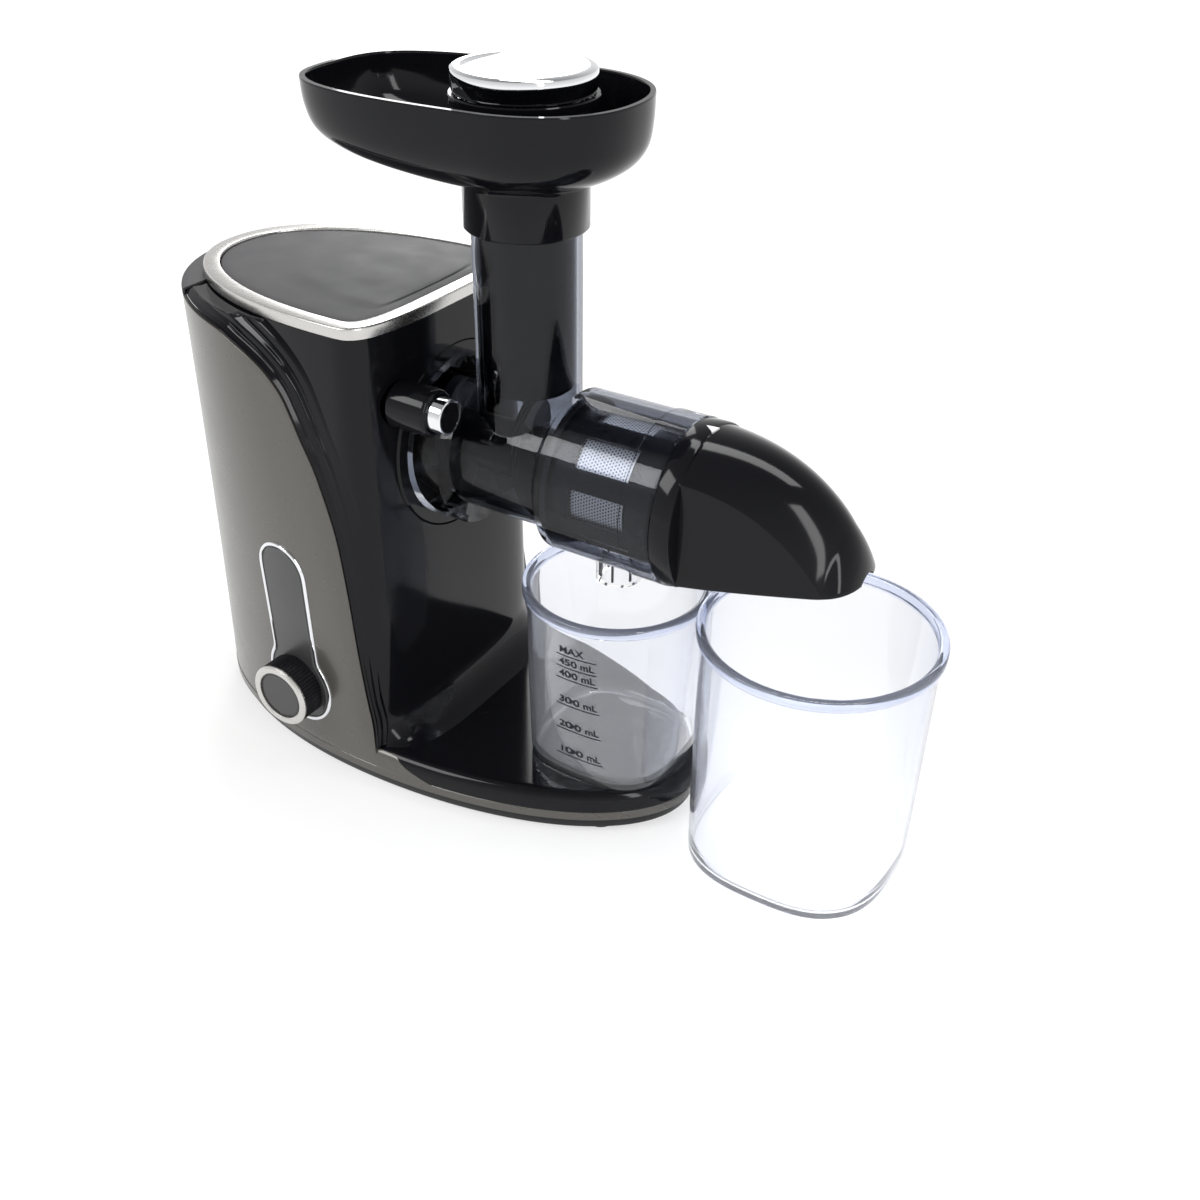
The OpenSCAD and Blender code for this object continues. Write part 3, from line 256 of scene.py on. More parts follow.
@dataclass(frozen=True)
class Finish:
    """One finish of the juicer's pieces, with the numbers that make it."""

    name: str
    colour: Point
    rough: float
    metallic: float = 0.0
    grain: Grain = Grain.MOULDED
    coat: float = 0.0
    edge: Point | None = None
    depth: float = 0.00002
    ior: float = 1.48
    clear: float = 1.0

    def material(self) -> bpy.types.Material:
        """Makes the material for this finish."""
        g = Graph(self.name)
        base: dict[str, Any] = {"Metallic": self.metallic, "Coat Weight": self.coat,
                                "Coat Roughness": COAT_ROUGH, "IOR": self.ior}
        tone = g.noise((60.0, 60.0, 60.0), 4.0)
        dark = tuple(c * 0.9 for c in self.colour)
        light = tuple(min(1.0, c * 1.08) for c in self.colour)
        if self.grain is Grain.SIEVE:
            return self._sieve(g, base)
        if self.grain is Grain.GLASS:
            return self._glass(g, base, tone)
        if self.grain is Grain.MOULDED:
            smear = g.noise((25.0, 25.0, 25.0), 5.0)
            peel = g.noise((420.0, 420.0, 420.0), 2.0)
            base |= {"Base Color": g.blend(tone, dark, light), "Roughness": self.rough * (0.8 + smear * 0.5),
                     "Normal": g.bump(peel, self.depth)}
        elif self.grain is Grain.PAINTED:
            fleck = g.noise((2600.0, 2600.0, 2600.0), 2.0)
            base |= {"Base Color": g.blend(fleck, dark, light), "Roughness": self.rough * (0.85 + tone * 0.4),
                     "Normal": g.bump(fleck, self.depth)}
        elif self.grain is Grain.BRUSHED:
            streak = g.noise((9.0, 700.0, 2400.0), 3.0, 0.7)
            base |= {"Base Color": g.blend(streak, dark, light), "Roughness": self.rough * (0.75 + streak * 0.6),
                     "Normal": g.bump(streak, self.depth)}
        else:
            wave = ((g.axes()[0] * 5200.0).apply("SINE") + (g.noise((3000.0, 60.0, 60.0)) - 0.5) * 2.0) * 0.5 + 0.5
            base |= {"Base Color": g.blend(wave, dark, light), "Roughness": self.rough * (0.85 + wave * 0.3),
                     "Normal": g.bump(wave, self.depth)}
        return g.surface(base)

    def _glass(self, g: Graph, base: dict[str, Any], tone: Value) -> bpy.types.Material:
        """Clear plastic that bends light, is tinted more where it is seen edge on and lets the lamps through.

        Args:
            g: The graph to draw in.
            base: The sockets that are already settled.
            tone: Slow variation of the polish.

        Returns:
            The finished material.
        """
        rim = Value(g, g.node("ShaderNodeLayerWeight", {}, {"Blend": 0.5}).outputs["Facing"]) ** 2.5
        base |= {"Base Color": g.blend(rim, self.colour, self.edge or self.colour),
                 "Roughness": self.rough * (0.6 + tone * 0.8), "Transmission Weight": self.clear}
        clear = g.node("ShaderNodeBsdfPrincipled", {}, base)
        open_to_lamps = g.node("ShaderNodeBsdfTransparent", {}, {0: tuple(c ** 0.5 for c in self.colour)})
        lamps = Value(g, g.node("ShaderNodeLightPath").outputs["Is Shadow Ray"])
        both = g.node("ShaderNodeMixShader", {}, {0: lamps, 1: clear.outputs[0], 2: open_to_lamps.outputs[0]})
        g.node("ShaderNodeOutputMaterial", {}, {0: both.outputs[0]})
        return g.material

    def _sieve(self, g: Graph, base: dict[str, Any]) -> bpy.types.Material:
        """Sheet steel with rows of small round holes, set out round the auger's axis.

        Args:
            g: The graph to draw in.
            base: The sockets that are already settled.

        Returns:
            The finished material.
        """
        x, y, z = g.axes()
        turn = (z - AXIS_Z * MM).apply("ARCTAN2", y - FEED_Y * MM) * (SIEVE_R / HOLE_PITCH)
        row = x / HOLE_ROW
        odd = (row.apply("FLOOR") * 0.5).apply("FRACT")
        across = (turn + odd).apply("FRACT") - 0.5
        down = row.apply("FRACT") - 0.5
        far = (across * across + down * down).apply("SQRT")
        hole = far < HOLE_SHARE
        base |= {"Base Color": g.blend(hole, self.colour, (0.012, 0.012, 0.012)), "Roughness": self.rough + hole * 0.4,
                 "Metallic": 1.0 - hole, "Normal": g.bump(1.0 - hole, 0.0002, 0.6)}
        return g.surface(base)


class Finishes(Enum):
    """Every finish on the juicer."""

    GLOSS_BLACK = Finish("gloss_black_plastic", (0.0048, 0.0049, 0.0066), 0.09, depth=0.000004, ior=1.30)
    CAGE_BLACK = Finish("cage_black_plastic", (0.016, 0.016, 0.018), 0.25, ior=1.40)
    SATIN_BLACK = Finish("satin_black_plastic", (0.010, 0.010, 0.012), 0.32, ior=1.36)
    WARM_GREY = Finish("warm_grey_paint", (0.098, 0.094, 0.084), 0.27, 0.35, Grain.PAINTED, 0.25, depth=0.000003)
    LID_GREY = Finish("matt_lid_grey", (0.068, 0.068, 0.071), 0.50, 0.0, Grain.PAINTED, 0.0, depth=0.000004, ior=1.30)
    INLAY_GREY = Finish("inlay_grey", (0.042, 0.042, 0.043), 0.33, 0.0, Grain.PAINTED, 0.1, depth=0.000004)
    RING_METAL = Finish("brushed_ring_metal", (0.62, 0.61, 0.59), 0.26, 1.0, Grain.BRUSHED, depth=0.000005)
    CHROME = Finish("chrome_plating", (0.80, 0.81, 0.83), 0.05, 1.0, Grain.MOULDED, depth=0.000002)
    STEEL = Finish("turned_steel", (0.56, 0.56, 0.56), 0.28, 1.0, Grain.TURNED, depth=0.000006)
    SIEVE = Finish("perforated_steel", (0.92, 0.91, 0.88), 0.36, 1.0, Grain.SIEVE)
    RUBBER = Finish("black_rubber", (0.022, 0.022, 0.022), 0.62)
    NYLON = Finish("natural_nylon", (0.72, 0.70, 0.63), 0.40)
    BRONZE = Finish("bearing_bronze", (0.50, 0.33, 0.15), 0.35, 1.0, Grain.TURNED, depth=0.000006)
    BOARD = Finish("green_board", (0.015, 0.12, 0.05), 0.45)
    MAGNET = Finish("dark_ferrite", (0.05, 0.05, 0.052), 0.55)
    SMOKE = Finish("smoky_clear_plastic", (0.38, 0.40, 0.45), 0.02, 0.0, Grain.GLASS,
                   0.45, edge=(0.07, 0.08, 0.11), ior=1.06)
    CUP = Finish("clear_cup_plastic", (0.93, 0.94, 0.965), 0.01, 0.0, Grain.GLASS,
                 edge=(0.66, 0.70, 0.84), ior=1.45, clear=0.95)
    CUP_RIM = Finish("cup_rim_plastic", (0.74, 0.79, 0.94), 0.01, 0.0, Grain.GLASS,
                     edge=(0.24, 0.30, 0.58), ior=1.42, clear=0.92)
    NOZZLE = Finish("clear_nozzle_plastic", (0.95, 0.95, 0.95), 0.02, 0.0, Grain.GLASS,
                    0.6, edge=(0.45, 0.46, 0.48), ior=1.12)
    PRINT = Finish("dark_print", (0.012, 0.012, 0.018), 0.6, ior=1.3)
    WHITE = Finish("white_print", (0.82, 0.82, 0.82), 0.45)


class Palette:
    """Makes each finish's material once."""

    def __init__(self) -> None:
        """Starts with no material made."""
        self.made: dict[Finishes, bpy.types.Material] = {}

    def get(self, finish: Finishes) -> bpy.types.Material:
        """The material of a finish."""
        if finish not in self.made:
            self.made[finish] = finish.value.material()
        return self.made[finish]


PALETTE = Palette()

# ---------------------------------------------------------------- meshes


class Skin:
    """A mesh under construction, made with bmesh operators and measured in millimetres about the feed tube."""

    def __init__(self) -> None:
        """Starts empty."""
        self.bm = bmesh.new()

    def sheet(self, rows: int, cols: int, place: Place) -> None:
        """Adds a grid whose points are placed by a function of (u, v) from 0 to 1.

        Args:
            rows: Faces along u.
            cols: Faces along v.
            place: Gives a point in millimetres for u and v.
        """
        for vert in bmesh.ops.create_grid(self.bm, x_segments=rows, y_segments=cols, size=1.0)["verts"]:
            vert.co = put(*place((vert.co.x + 1) / 2, (vert.co.y + 1) / 2))

    def turned(self, profile: Sequence[Pair], centre: Point, axis: str = "z", steps: int = 96) -> None:
        """Spins a profile of (radius, distance) round an axis through centre.

        Args:
            profile: Radius and distance along the axis, in millimetres.
            centre: Point on the axis that distances start from.
            axis: x, y or z.
            steps: Steps of the full turn.
        """
        along = {"x": Vector((1, 0, 0)), "y": Vector((0, 1, 0)), "z": Vector((0, 0, 1))}[axis]
        out = {"x": Vector((0, 1, 0)), "y": Vector((0, 0, 1)), "z": Vector((1, 0, 0))}[axis]
        middle = put(*centre)
        line = [self.bm.verts.new(middle + out * r * MM + along * d * MM) for r, d in profile]
        edges = [self.bm.edges.new(pair) for pair in zip(line, line[1:])]
        bmesh.ops.spin(self.bm, geom=line + edges, cent=middle, axis=along, angle=math.tau, steps=steps, use_merge=True)

    def block(self, place: Matrix, size: Point) -> None:
        """Adds a box of a size in millimetres, turned and moved by a matrix."""
        made = bmesh.ops.create_cube(self.bm, size=1.0)["verts"]
        bmesh.ops.transform(self.bm, matrix=place @ Matrix.Diagonal((*(v * MM for v in size), 1.0)), verts=made)

    def weld(self, gap: float = 0.001) -> None:
        """Merges points that lie closer than gap millimetres and turns the faces outwards."""
        bmesh.ops.remove_doubles(self.bm, verts=self.bm.verts, dist=gap * MM)
        bmesh.ops.recalc_face_normals(self.bm, faces=self.bm.faces)

    def outward(self, way: Callable[[Vector], Vector]) -> None:
        """Turns an open skin's faces, all together, to look the way that is given for most of them."""
        score = sum(f.normal.dot(way(f.calc_center_median())) * f.calc_area() for f in self.bm.faces)
        if score < 0:
            bmesh.ops.reverse_faces(self.bm, faces=self.bm.faces[:])

    def thicken(self, wall: float) -> None:
        """Gives an open skin a wall to its inside, in millimetres."""
        bmesh.ops.solidify(self.bm, geom=self.bm.faces[:], thickness=wall * MM)

    def soften(self, width: float, angle: float = 40.0, segments: int = 2) -> None:
        """Bevels the edges that are sharper than an angle in degrees."""
        sharp = [e for e in self.bm.edges if len(e.link_faces) == 2 and e.calc_face_angle(0.0) > math.radians(angle)]
        bmesh.ops.bevel(self.bm, geom=sharp, offset=width * MM, affect="EDGES", segments=segments, profile=0.5,
                        material=-1, clamp_overlap=True)

    def finish(self, name: str, finish: Finishes, angle: float = 35.0) -> Piece:
        """Makes the object.

        Args:
            name: The piece's name.
            finish: Its finish.
            angle: Edges sharper than this stay sharp, in degrees.

        Returns:
            The object, at the origin.
        """
        mesh = bpy.data.meshes.new(name)
        self.bm.to_mesh(mesh)
        self.bm.free()
        return dress(mesh, name, finish, angle)


def grid_skin(rows: int, cols: int, place: Place, gap: float = 0.001) -> Skin:
    """Starts a skin with one grid, and merges the points of it that meet."""
    skin = Skin()
    skin.sheet(rows, cols, place)
    skin.weld(gap)
    return skin


def lathe(name: str, finish: Finishes, profile: Sequence[Pair], centre: Point, axis: str = "z", steps: int = 96,
          angle: float = 35.0) -> Piece:
    """Makes a piece by spinning one profile.

    Args:
        name: The piece's name.
        finish: Its finish.
        profile: Radius and distance along the axis, in millimetres.
        centre: Point on the axis that distances start from.
        axis: x, y or z.
        steps: Steps of the full turn.
        angle: Edges sharper than this stay sharp, in degrees.

    Returns:
        The piece.
    """
    skin = Skin()
    skin.turned(profile, centre, axis, steps)
    skin.weld()
    return skin.finish(name, finish, angle)


def in_scene(name: str, data: Any) -> Piece:
    """Makes an object of some data and puts it in the scene."""
    made = bpy.data.objects.new(name, data)
    bpy.context.scene.collection.objects.link(made)
    return made


def dress(mesh: bpy.types.Mesh, name: str, finish: Finishes, angle: float = 35.0) -> Piece:
    """Puts a mesh in the scene with a finish and smooth shading."""
    if mesh.materials:
        mesh.materials.clear()
    mesh.materials.append(PALETTE.get(finish))
    mesh.shade_smooth()
    mesh.set_sharp_from_angle(angle=math.radians(angle))
    return in_scene(name, mesh)


def carved(piece: Piece, tools: Sequence[Piece], finish: Finishes) -> Piece:
    """Cuts tool shapes out of a piece and removes the tools.

    Args:
        piece: The piece to cut.
        tools: Closed shapes to take away.
        finish: The piece's finish.

    Returns:
        The cut piece.
    """
    for tool in tools:
        cut = piece.modifiers.new("cut", "BOOLEAN")
        cut.operation, cut.object, cut.solver = "DIFFERENCE", tool, "EXACT"
    graph = bpy.context.evaluated_depsgraph_get()
    mesh = bpy.data.meshes.new_from_object(piece.evaluated_get(graph))
    name = piece.name
    for old in (piece, *tools):
        bpy.data.objects.remove(old)
    return dress(mesh, name, finish)


def round_off(piece: Piece, axes: Sequence[tuple[Point, Point]], close: float = 0.97) -> None:
    """Gives the faces that lie round an axis the normals of a true cylinder.

    Args:
        piece: The piece to shade.
        axes: A point on each axis, in millimetres, and its direction.
        close: Least cosine between a face and the radius at its corner.
    """
    mesh = piece.data
    lines = [(put(*point), Vector(way)) for point, way in axes]
    normals = []
    for face in mesh.polygons:
        for index in face.vertices:
            made = Vector()
            for point, way in lines:
                out = mesh.vertices[index].co - point
                out = (out - way * out.dot(way)).normalized()
                if abs(out.dot(face.normal)) > close:
                    made = out if out.dot(face.normal) > 0 else -out
            normals.append(made)
    mesh.normals_split_custom_set(normals)


def mount(piece: Piece, body: str, slot: str, *nodes: str) -> Piece:
    """Lets a piece ride on a body and hides the nodes that it stands for."""
    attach(piece, body)
    if nodes:
        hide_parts(*nodes)
    log.info("%s: %d faces on %s", piece.name, len(piece.data.polygons), body)
    return piece


# ---------------------------------------------------------------- shared outlines


@dataclass(frozen=True)
class Plan:
    """Measures and outlines that several sub-assemblies share, in millimetres about the feed tube."""

    axis_z: float = AXIS_Z
    wall: float = 3.0
    base_h: float = 24.0
    base_w: float = 73.3
    base_mid: float = -63.0
    base_right: float = 94.3
    base_round: float = 6.0
    trim_z: float = 8.0
    trim_top: float = 13.0
    foot_h: float = 1.5
    cover_inset: float = 2.5
    foot_sweep: float = 18.0
    tower_left: float = 200.5
    tower_right: float = 42.5
    panel_w: float = 75.0
    wrap_mid: float = -105.0
    wrap_left: float = 83.6
    wall_left: float = 118.0
    wall_w: float = 65.5
    shell_top: float = 242.0
    ring_h: float = 5.5
    ring_a: float = 70.0
    ring_b: float = 65.0
    ring_band: float = 8.0
    gap: float = 0.25
    foot_x: float = -48.0
    head_x: float = -158.0
    knots: tuple[Pair, ...] = (
        (13, -48), (39, -52.4), (75, -56.3), (115, -59.7), (142, -62.7), (158, -65.8), (178, -71), (192, -76.4),
        (204, -80.9), (213, -85.1), (221, -92), (227, -100.5), (232.5, -112), (236.5, -125), (239, -158))

    @property
    def panel_top(self) -> float:
        """Height of the side panel's upper edge."""
        return self.shell_top - 3

    @property
    def ring_end(self) -> float:
        """X of the ring's right end."""
        return 2 - self.tower_right

    @property
    def ring_mid(self) -> float:
        """X at which the ring is widest."""
        return self.ring_end - 0.33 * self.ring_a

    @property
    def ring_left(self) -> float:
        """Reach of the ring to the left of its widest place."""
        return 1.67 * self.ring_a

    def outline(self, z: float, skin: int) -> tuple[float, float, float, float, float, float]:
        """Outline of the tower at a height.

        Args:
            z: Height.
            skin: 1 for the panel, 0 for the black wall inside it.

        Returns:
            Middle, left and right reach, half width and the two powers.
        """
        q = (z - self.trim_z) / (self.shell_top - self.trim_z)
        turn = self.foot_sweep - max(z - self.base_h, 0.0)
        sweep = 0.0 if turn <= 0 else self.foot_sweep - math.sqrt(max(self.foot_sweep ** 2 - turn ** 2, 0.0))
        if skin:
            m = mix(self.base_mid, self.wrap_mid, q)
            left = mix(self.tower_left + self.base_mid, self.wrap_left, q)
            half = mix(self.base_w - 0.3, self.panel_w, q)
            nl, nr = mix(2.1, 1.9, q), mix(4, 2.9, q)
        else:
            m = mix(self.base_mid - 10, self.ring_mid, q)
            left, half = mix(self.wall_left, self.ring_left + 0.5, q), mix(self.base_w - 3, self.wall_w, q)
            nl, nr = mix(2.5, 2.15, q), mix(4, 3.6, q)
        return m, left, sweep - self.tower_right - m, half, nl, nr

    def at(self, angle: float, z: float, inset: float = 0.0, skin: int = 1) -> Point:
        """Point of the tower's outline at an angle, moved in by an inset."""
        m, left, right, half, nl, nr = self.outline(z, skin)
        x, y = egg(angle, left - inset, right - inset, half - inset, nl, nr)
        return m + x, y, z

    def angle(self, x: float, z: float, inset: float = 0.0, skin: int = 1) -> float:
        """Angle at which the tower's outline passes a given X."""
        m, left, right, _, nl, nr = self.outline(z, skin)
        share = (x - m) / ((left if x < m else right) - inset)
        return math.acos(clamp(math.copysign(abs(share) ** ((nl if x < m else nr) / 2), share), -1, 1))

    def width(self, x: float, z: float, skin: int = 1) -> float:
        """Half width of the tower's outline at X."""
        return self.at(self.angle(x, z, 0, skin), z, 0, skin)[1]

    def base(self, angle: float, inset: float = 0.0) -> Pair:
        """Point of the base's outline at an angle, moved in by an inset."""
        x, y = egg(angle, self.tower_left + self.base_mid - inset, self.base_right - self.base_mid - inset,
                   self.base_w - inset, 2.1, 2.0)
        return self.base_mid + x, y

    def ring(self, angle: float, inset: float = 0.0) -> Pair:
        """Point of the top ring's outline at an angle, moved in by an inset."""
        x, y = egg(angle, self.ring_left - inset, self.ring_end - self.ring_mid - inset, self.ring_b - inset, 2.15, 3.6)
        return self.ring_mid + x, y

    def seam(self, z: float) -> float:
        """X of the joint between the two colours at a height."""
        ks = self.knots
        if z <= ks[0][0]:
            return self.foot_x
        if z >= ks[-1][0]:
            return self.head_x
        i = max(k for k in range(len(ks) - 1) if ks[k][0] <= z)

        def slope(k: int) -> float:
            a, b = max(k - 1, 0), min(k + 1, len(ks) - 1)
            return (ks[b][1] - ks[a][1]) / (ks[b][0] - ks[a][0])

        h = ks[i + 1][0] - ks[i][0]
        t = (z - ks[i][0]) / h
        return ((2 * t ** 3 - 3 * t * t + 1) * ks[i][1] + (t ** 3 - 2 * t * t + t) * h * slope(i)
                + (3 * t * t - 2 * t ** 3) * ks[i + 1][1] + (t ** 3 - t * t) * h * slope(i + 1))

    def beside(self, z: float, d: float) -> Pair:
        """X and Z of the curve that runs beside the joint at a distance."""
        k = (self.seam(z + 0.4) - self.seam(z - 0.4)) / 0.8
        n = math.sqrt(1 + k * k)
        return self.seam(z) + d / n, z - d * k / n

    def strip(self, z: float) -> float:
        """Width of the stepped strip beside the joint."""
        return mix(3, 12.6, clamp((z - 50) / 110))

    def heights(self, low: float, high: float, rows: int) -> list[float]:
        """Heights that cut the joint's curve into equal lengths."""
        zs = [mix(low, high, i / 900) for i in range(901)]
        run = [0.0]
        for a, b in zip(zs, zs[1:]):
            run.append(run[-1] + math.hypot(b - a, self.seam(b) - self.seam(a)))
        spots = list(zip(run, zs))
        return [table(spots, run[-1] * i / rows) for i in range(rows + 1)]


PLAN = Plan()


def spot(rows: Sequence[Any], share: float) -> Any:
    """Picks the row that lies at a share from 0 to 1 of a list."""
    return rows[min(len(rows) - 1, int(round(share * (len(rows) - 1))))]


def smooth(points: Sequence[Pair], steps: int) -> list[Pair]:
    """Curve through points, as a Catmull-Rom spline with steps between each two."""
    n = len(points)
    made = []
    for i in range(n - 1):
        p = [points[max(0, min(n - 1, k))] for k in (i - 1, i, i + 1, i + 2)]
        for j in range(steps):
            t = j / steps
            made.append(tuple(0.5 * (2 * b + (c - a) * t + (2 * a - 5 * b + 4 * c - d) * t * t
                                     + (3 * b - a - 3 * c + d) * t ** 3) for a, b, c, d in zip(*p)))
    return made + [points[-1]]


def band(name: str, finish: Finishes, outline: Outline,
         section: Sequence[Pair], steps: int) -> Piece:
    """Sweeps a closed section of (inset, height) round an outline.

    Args:
        name: The piece's name.
        finish: Its finish.
        outline: Gives X and Y for an angle and an inset.
        section: Corners of the closed section.
        steps: Steps round the outline.

    Returns:
        The piece.
    """
    loop = list(section) + [section[0]]
    skin = grid_skin(steps, len(loop) - 1, lambda u, v: (*outline(u * math.tau, spot(loop, v)[0]), spot(loop, v)[1]))
    return skin.finish(name, finish)


def lid(name: str, finish: Finishes, outline: Outline,
        section: Sequence[Pair], middle: Pair, crown: float = 0.0, steps: int = 160) -> Piece:
    """Closes a section of (inset, height) over the middle of an outline, at its first and last rows.

    Args:
        name: The piece's name.
        finish: Its finish.
        outline: Gives X and Y for an angle and an inset.
        section: Rows from the underside to the top.
        middle: X and Y that both faces close on.
        crown: Rise of the top towards the middle.
        steps: Steps round the outline.

    Returns:
        The piece.
    """
    fill = 14
    rows = [(section[0], 0.0)] + [(row, 1.0) for row in section]
    rows += [(section[-1], 1 - k / fill) for k in range(1, fill + 1)]

    def place(u: float, v: float) -> Point:
        (inset, height), share = spot(rows, v)
        x, y = outline(u * math.tau, inset)
        lift = crown * (1 - share ** 2) if v > 0.5 else 0.0
        return mix(middle[0], x, share), mix(middle[1], y, share), height + lift

    skin = grid_skin(steps, len(rows) - 1, place)
    return skin.finish(name, finish)


def drum(name: str, centre: Point, axis: str, radius: float, length: float) -> Piece:
    """A closed round tool for cutting, from centre along its axis."""
    return lathe(name, Finishes.RUBBER, [(0, 0), (radius, 0), (radius, length), (0, length)], centre, axis)


# ---------------------------------------------------------------- sub-assemblies


@dataclass
class Tower:
    """Casing of the drive: metal coloured wrap, stepped strip, black wall, deck, ring and lid."""

    key: "Control"
    gland: tuple[float, float, float] = (-100.0, 24.0, 5.0)
    flange: Pair = (-63.0, 46.6)
    boss: tuple[float, float, float] = (-42.0, 207.0, 10.3)
    profile: tuple[Pair, ...] = (
        (0.0, 0.90), (0.015, 0.95), (0.04, 0.955), (0.135, 0.74), (0.15, 0.70), (0.165, 0.60), (0.19, 0.565),
        (0.43, 0.52), (0.465, 0.55), (0.49, 0.55), (0.51, 0.50), (0.56, 0.27), (0.585, 0.24), (0.88, 0.20),
        (0.93, 0.16), (1.0, 0.0))

    def build(self) -> None:
        """Makes every piece of the casing."""
        self.panel()
        for side in (-1, 1):
            self.strip(side)
        self.black_wall()
        self.deck()
        self.ring()

    def panel(self) -> None:
        """Metal coloured wrap round the left end, cut by the keyhole and the cord gland."""
        zs = PLAN.heights(PLAN.trim_top, PLAN.panel_top, 110)

        def place(u: float, v: float) -> Point:
            z = spot(zs, u)
            t = PLAN.angle(PLAN.seam(z) - PLAN.gap, z)
            return PLAN.at(mix(t, math.tau - t, v), z)

        skin = grid_skin(110, 96, place)
        skin.thicken(PLAN.wall)
        skin.soften(0.45)
        piece = skin.finish("metal_wrap", Finishes.WARM_GREY)
        x, z, r = self.gland
        piece = carved(piece, [self.key.cutter(), drum("gland_cutter", (x, 20, z), "y", r, 80)], Finishes.WARM_GREY)
        mount(piece, "base", "warm_grey", "side_panel")

    def strip(self, side: int) -> None:
        """Stepped strip that leads from the panel's edge down to the black wall."""
        zs = PLAN.heights(PLAN.base_h + 0.4, PLAN.panel_top, 120)
        steps = 90
        marks = [i / steps for i in range(steps + 1)]

        def place(u: float, v: float) -> Point:
            z, share = spot(zs, u), spot(marks, v)
            x, h = PLAN.beside(z, PLAN.gap + PLAN.strip(z) * share)
            x, ceiling = max(x, PLAN.head_x + 0.05), PLAN.shell_top - 0.5
            under = max(0.0, h - ceiling)
            h = clamp(h, PLAN.base_h + 0.4, ceiling - 0.12 * under)
            lift = table(self.profile, share)
            return x, side * (mix(PLAN.width(x, h, 0), PLAN.width(x, h, 1), lift) - 1.2 * under), h

        skin = grid_skin(120, steps, place, 0.0005)
        skin.outward(lambda c: Vector((0, side, 0)))
        skin.thicken(1.2)
        piece = skin.finish("step_strip_front" if side < 0 else "step_strip_back", Finishes.GLOSS_BLACK, 50)
        mount(piece, "base", "gloss_black", "joint_trim")

    def black_wall(self) -> None:
        """Black wall from the strip round the right face, with the seats of the chamber and the button."""
        foot = {PLAN.base_h - 2 + k * 1.5 for k in range(16)}
        zs = sorted(foot | {mix(46, PLAN.shell_top, k / 46) for k in range(47)})
        edge = []
        for z in (PLAN.base_h - 10, 32, 40, 56, 74, 88, 100, 112, 125, 135, 145, 153, 160, 168, 175, 182, 188, 194, 199,
                  204, 208, 212, 215, 218, 221, 224, 226, 228, 230):
            x, h = PLAN.beside(z, PLAN.strip(z) * 0.985 + PLAN.gap)
            edge.append((h, x))

        def place(u: float, v: float) -> Point:
            z = spot(zs, u)
            t = PLAN.angle(table(edge, z), z, 0, 0)
            s = mix(-1, 1, v)
            return PLAN.at(t * math.copysign(abs(s) ** 0.9, s), z, 0, 0)

        skin = grid_skin(len(zs) - 1, 150, place)
        skin.thicken(PLAN.wall)
        piece = skin.finish("black_wall", Finishes.GLOSS_BLACK)
        x, r = self.flange
        y, z, boss = self.boss
        tools = [drum("flange_cutter", (x, 0, PLAN.axis_z), "x", r, 60), drum("boss_cutter", (x, y, z), "x", boss, 60)]
        mount(carved(piece, tools, Finishes.GLOSS_BLACK), "base", "gloss_black", "body_shell")

    def deck(self) -> None:
        """Dark deck under the ring, that shows as the ledge at the left."""
        z0, z1 = PLAN.panel_top + PLAN.gap, PLAN.shell_top
        cut = PLAN.head_x
        steps = 48

        def ledge(u: float, v: float) -> Point:
            rows = ((0, z0), (0, z1 - 1.2), (0.15, z1 - 0.62), (0.5, z1 - 0.24), (1.2, z1))
            k = int(round(v * 24))
            inset, z = rows[min(k, 4)]
            t = PLAN.angle(cut, PLAN.shell_top)
            x, y, _ = PLAN.at(mix(t, math.tau - t, u), PLAN.shell_top, inset)
            share = clamp((k - 4) / 20)
            return mix(min(x, cut), cut, share), mix(y, y * 0.55, share), z

        skin = grid_skin(steps, 24, ledge)
        skin.thicken(1.0)
        mount(skin.finish("left_ledge", Finishes.LID_GREY), "base", "satin_grey", "shoulder_plate")
        core = lid("deck_core", Finishes.SATIN_BLACK, lambda t, d: PLAN.at(t, PLAN.shell_top, d, 0)[:2],
                   [(3.3, z0), (3.3, z1)], (PLAN.ring_mid, 0))
        mount(core, "base", "satin_grey", "shoulder_plate")

    def ring(self) -> None:
        """Bright ring round the lid, and the lid."""
        low, top, w = PLAN.shell_top, PLAN.shell_top + PLAN.ring_h, PLAN.ring_band
        section = [(0.5, low), (0.05, low + 0.15), (0, low + 0.5), (0, top - 0.85), (0.12, top - 0.45),
                   (0.45, top - 0.12), (0.85, top), (w - 0.7, top), (w - 0.35, top - 0.12), (w - 0.1, top - 0.4),
                   (w, top - 0.9), (w, low + 0.3), (w - 1, low)]
        mount(band("top_ring_metal", Finishes.RING_METAL, PLAN.ring, section, 220), "base", "ring_metal", "top_ring")
        rows = [(w + 0.3, low), (w + 0.3, top - 1.9), (w + 0.45, top - 1.5), (w + 0.9, top - 1.15),
                (w + 1.8, top - 0.95), (w + 5, top - 0.8)]
        plate = lid("lid_plate", Finishes.LID_GREY, PLAN.ring, rows, (PLAN.ring_mid + 4, 0), 0.7, 200)
        mount(plate, "base", "satin_grey", "top_plate")


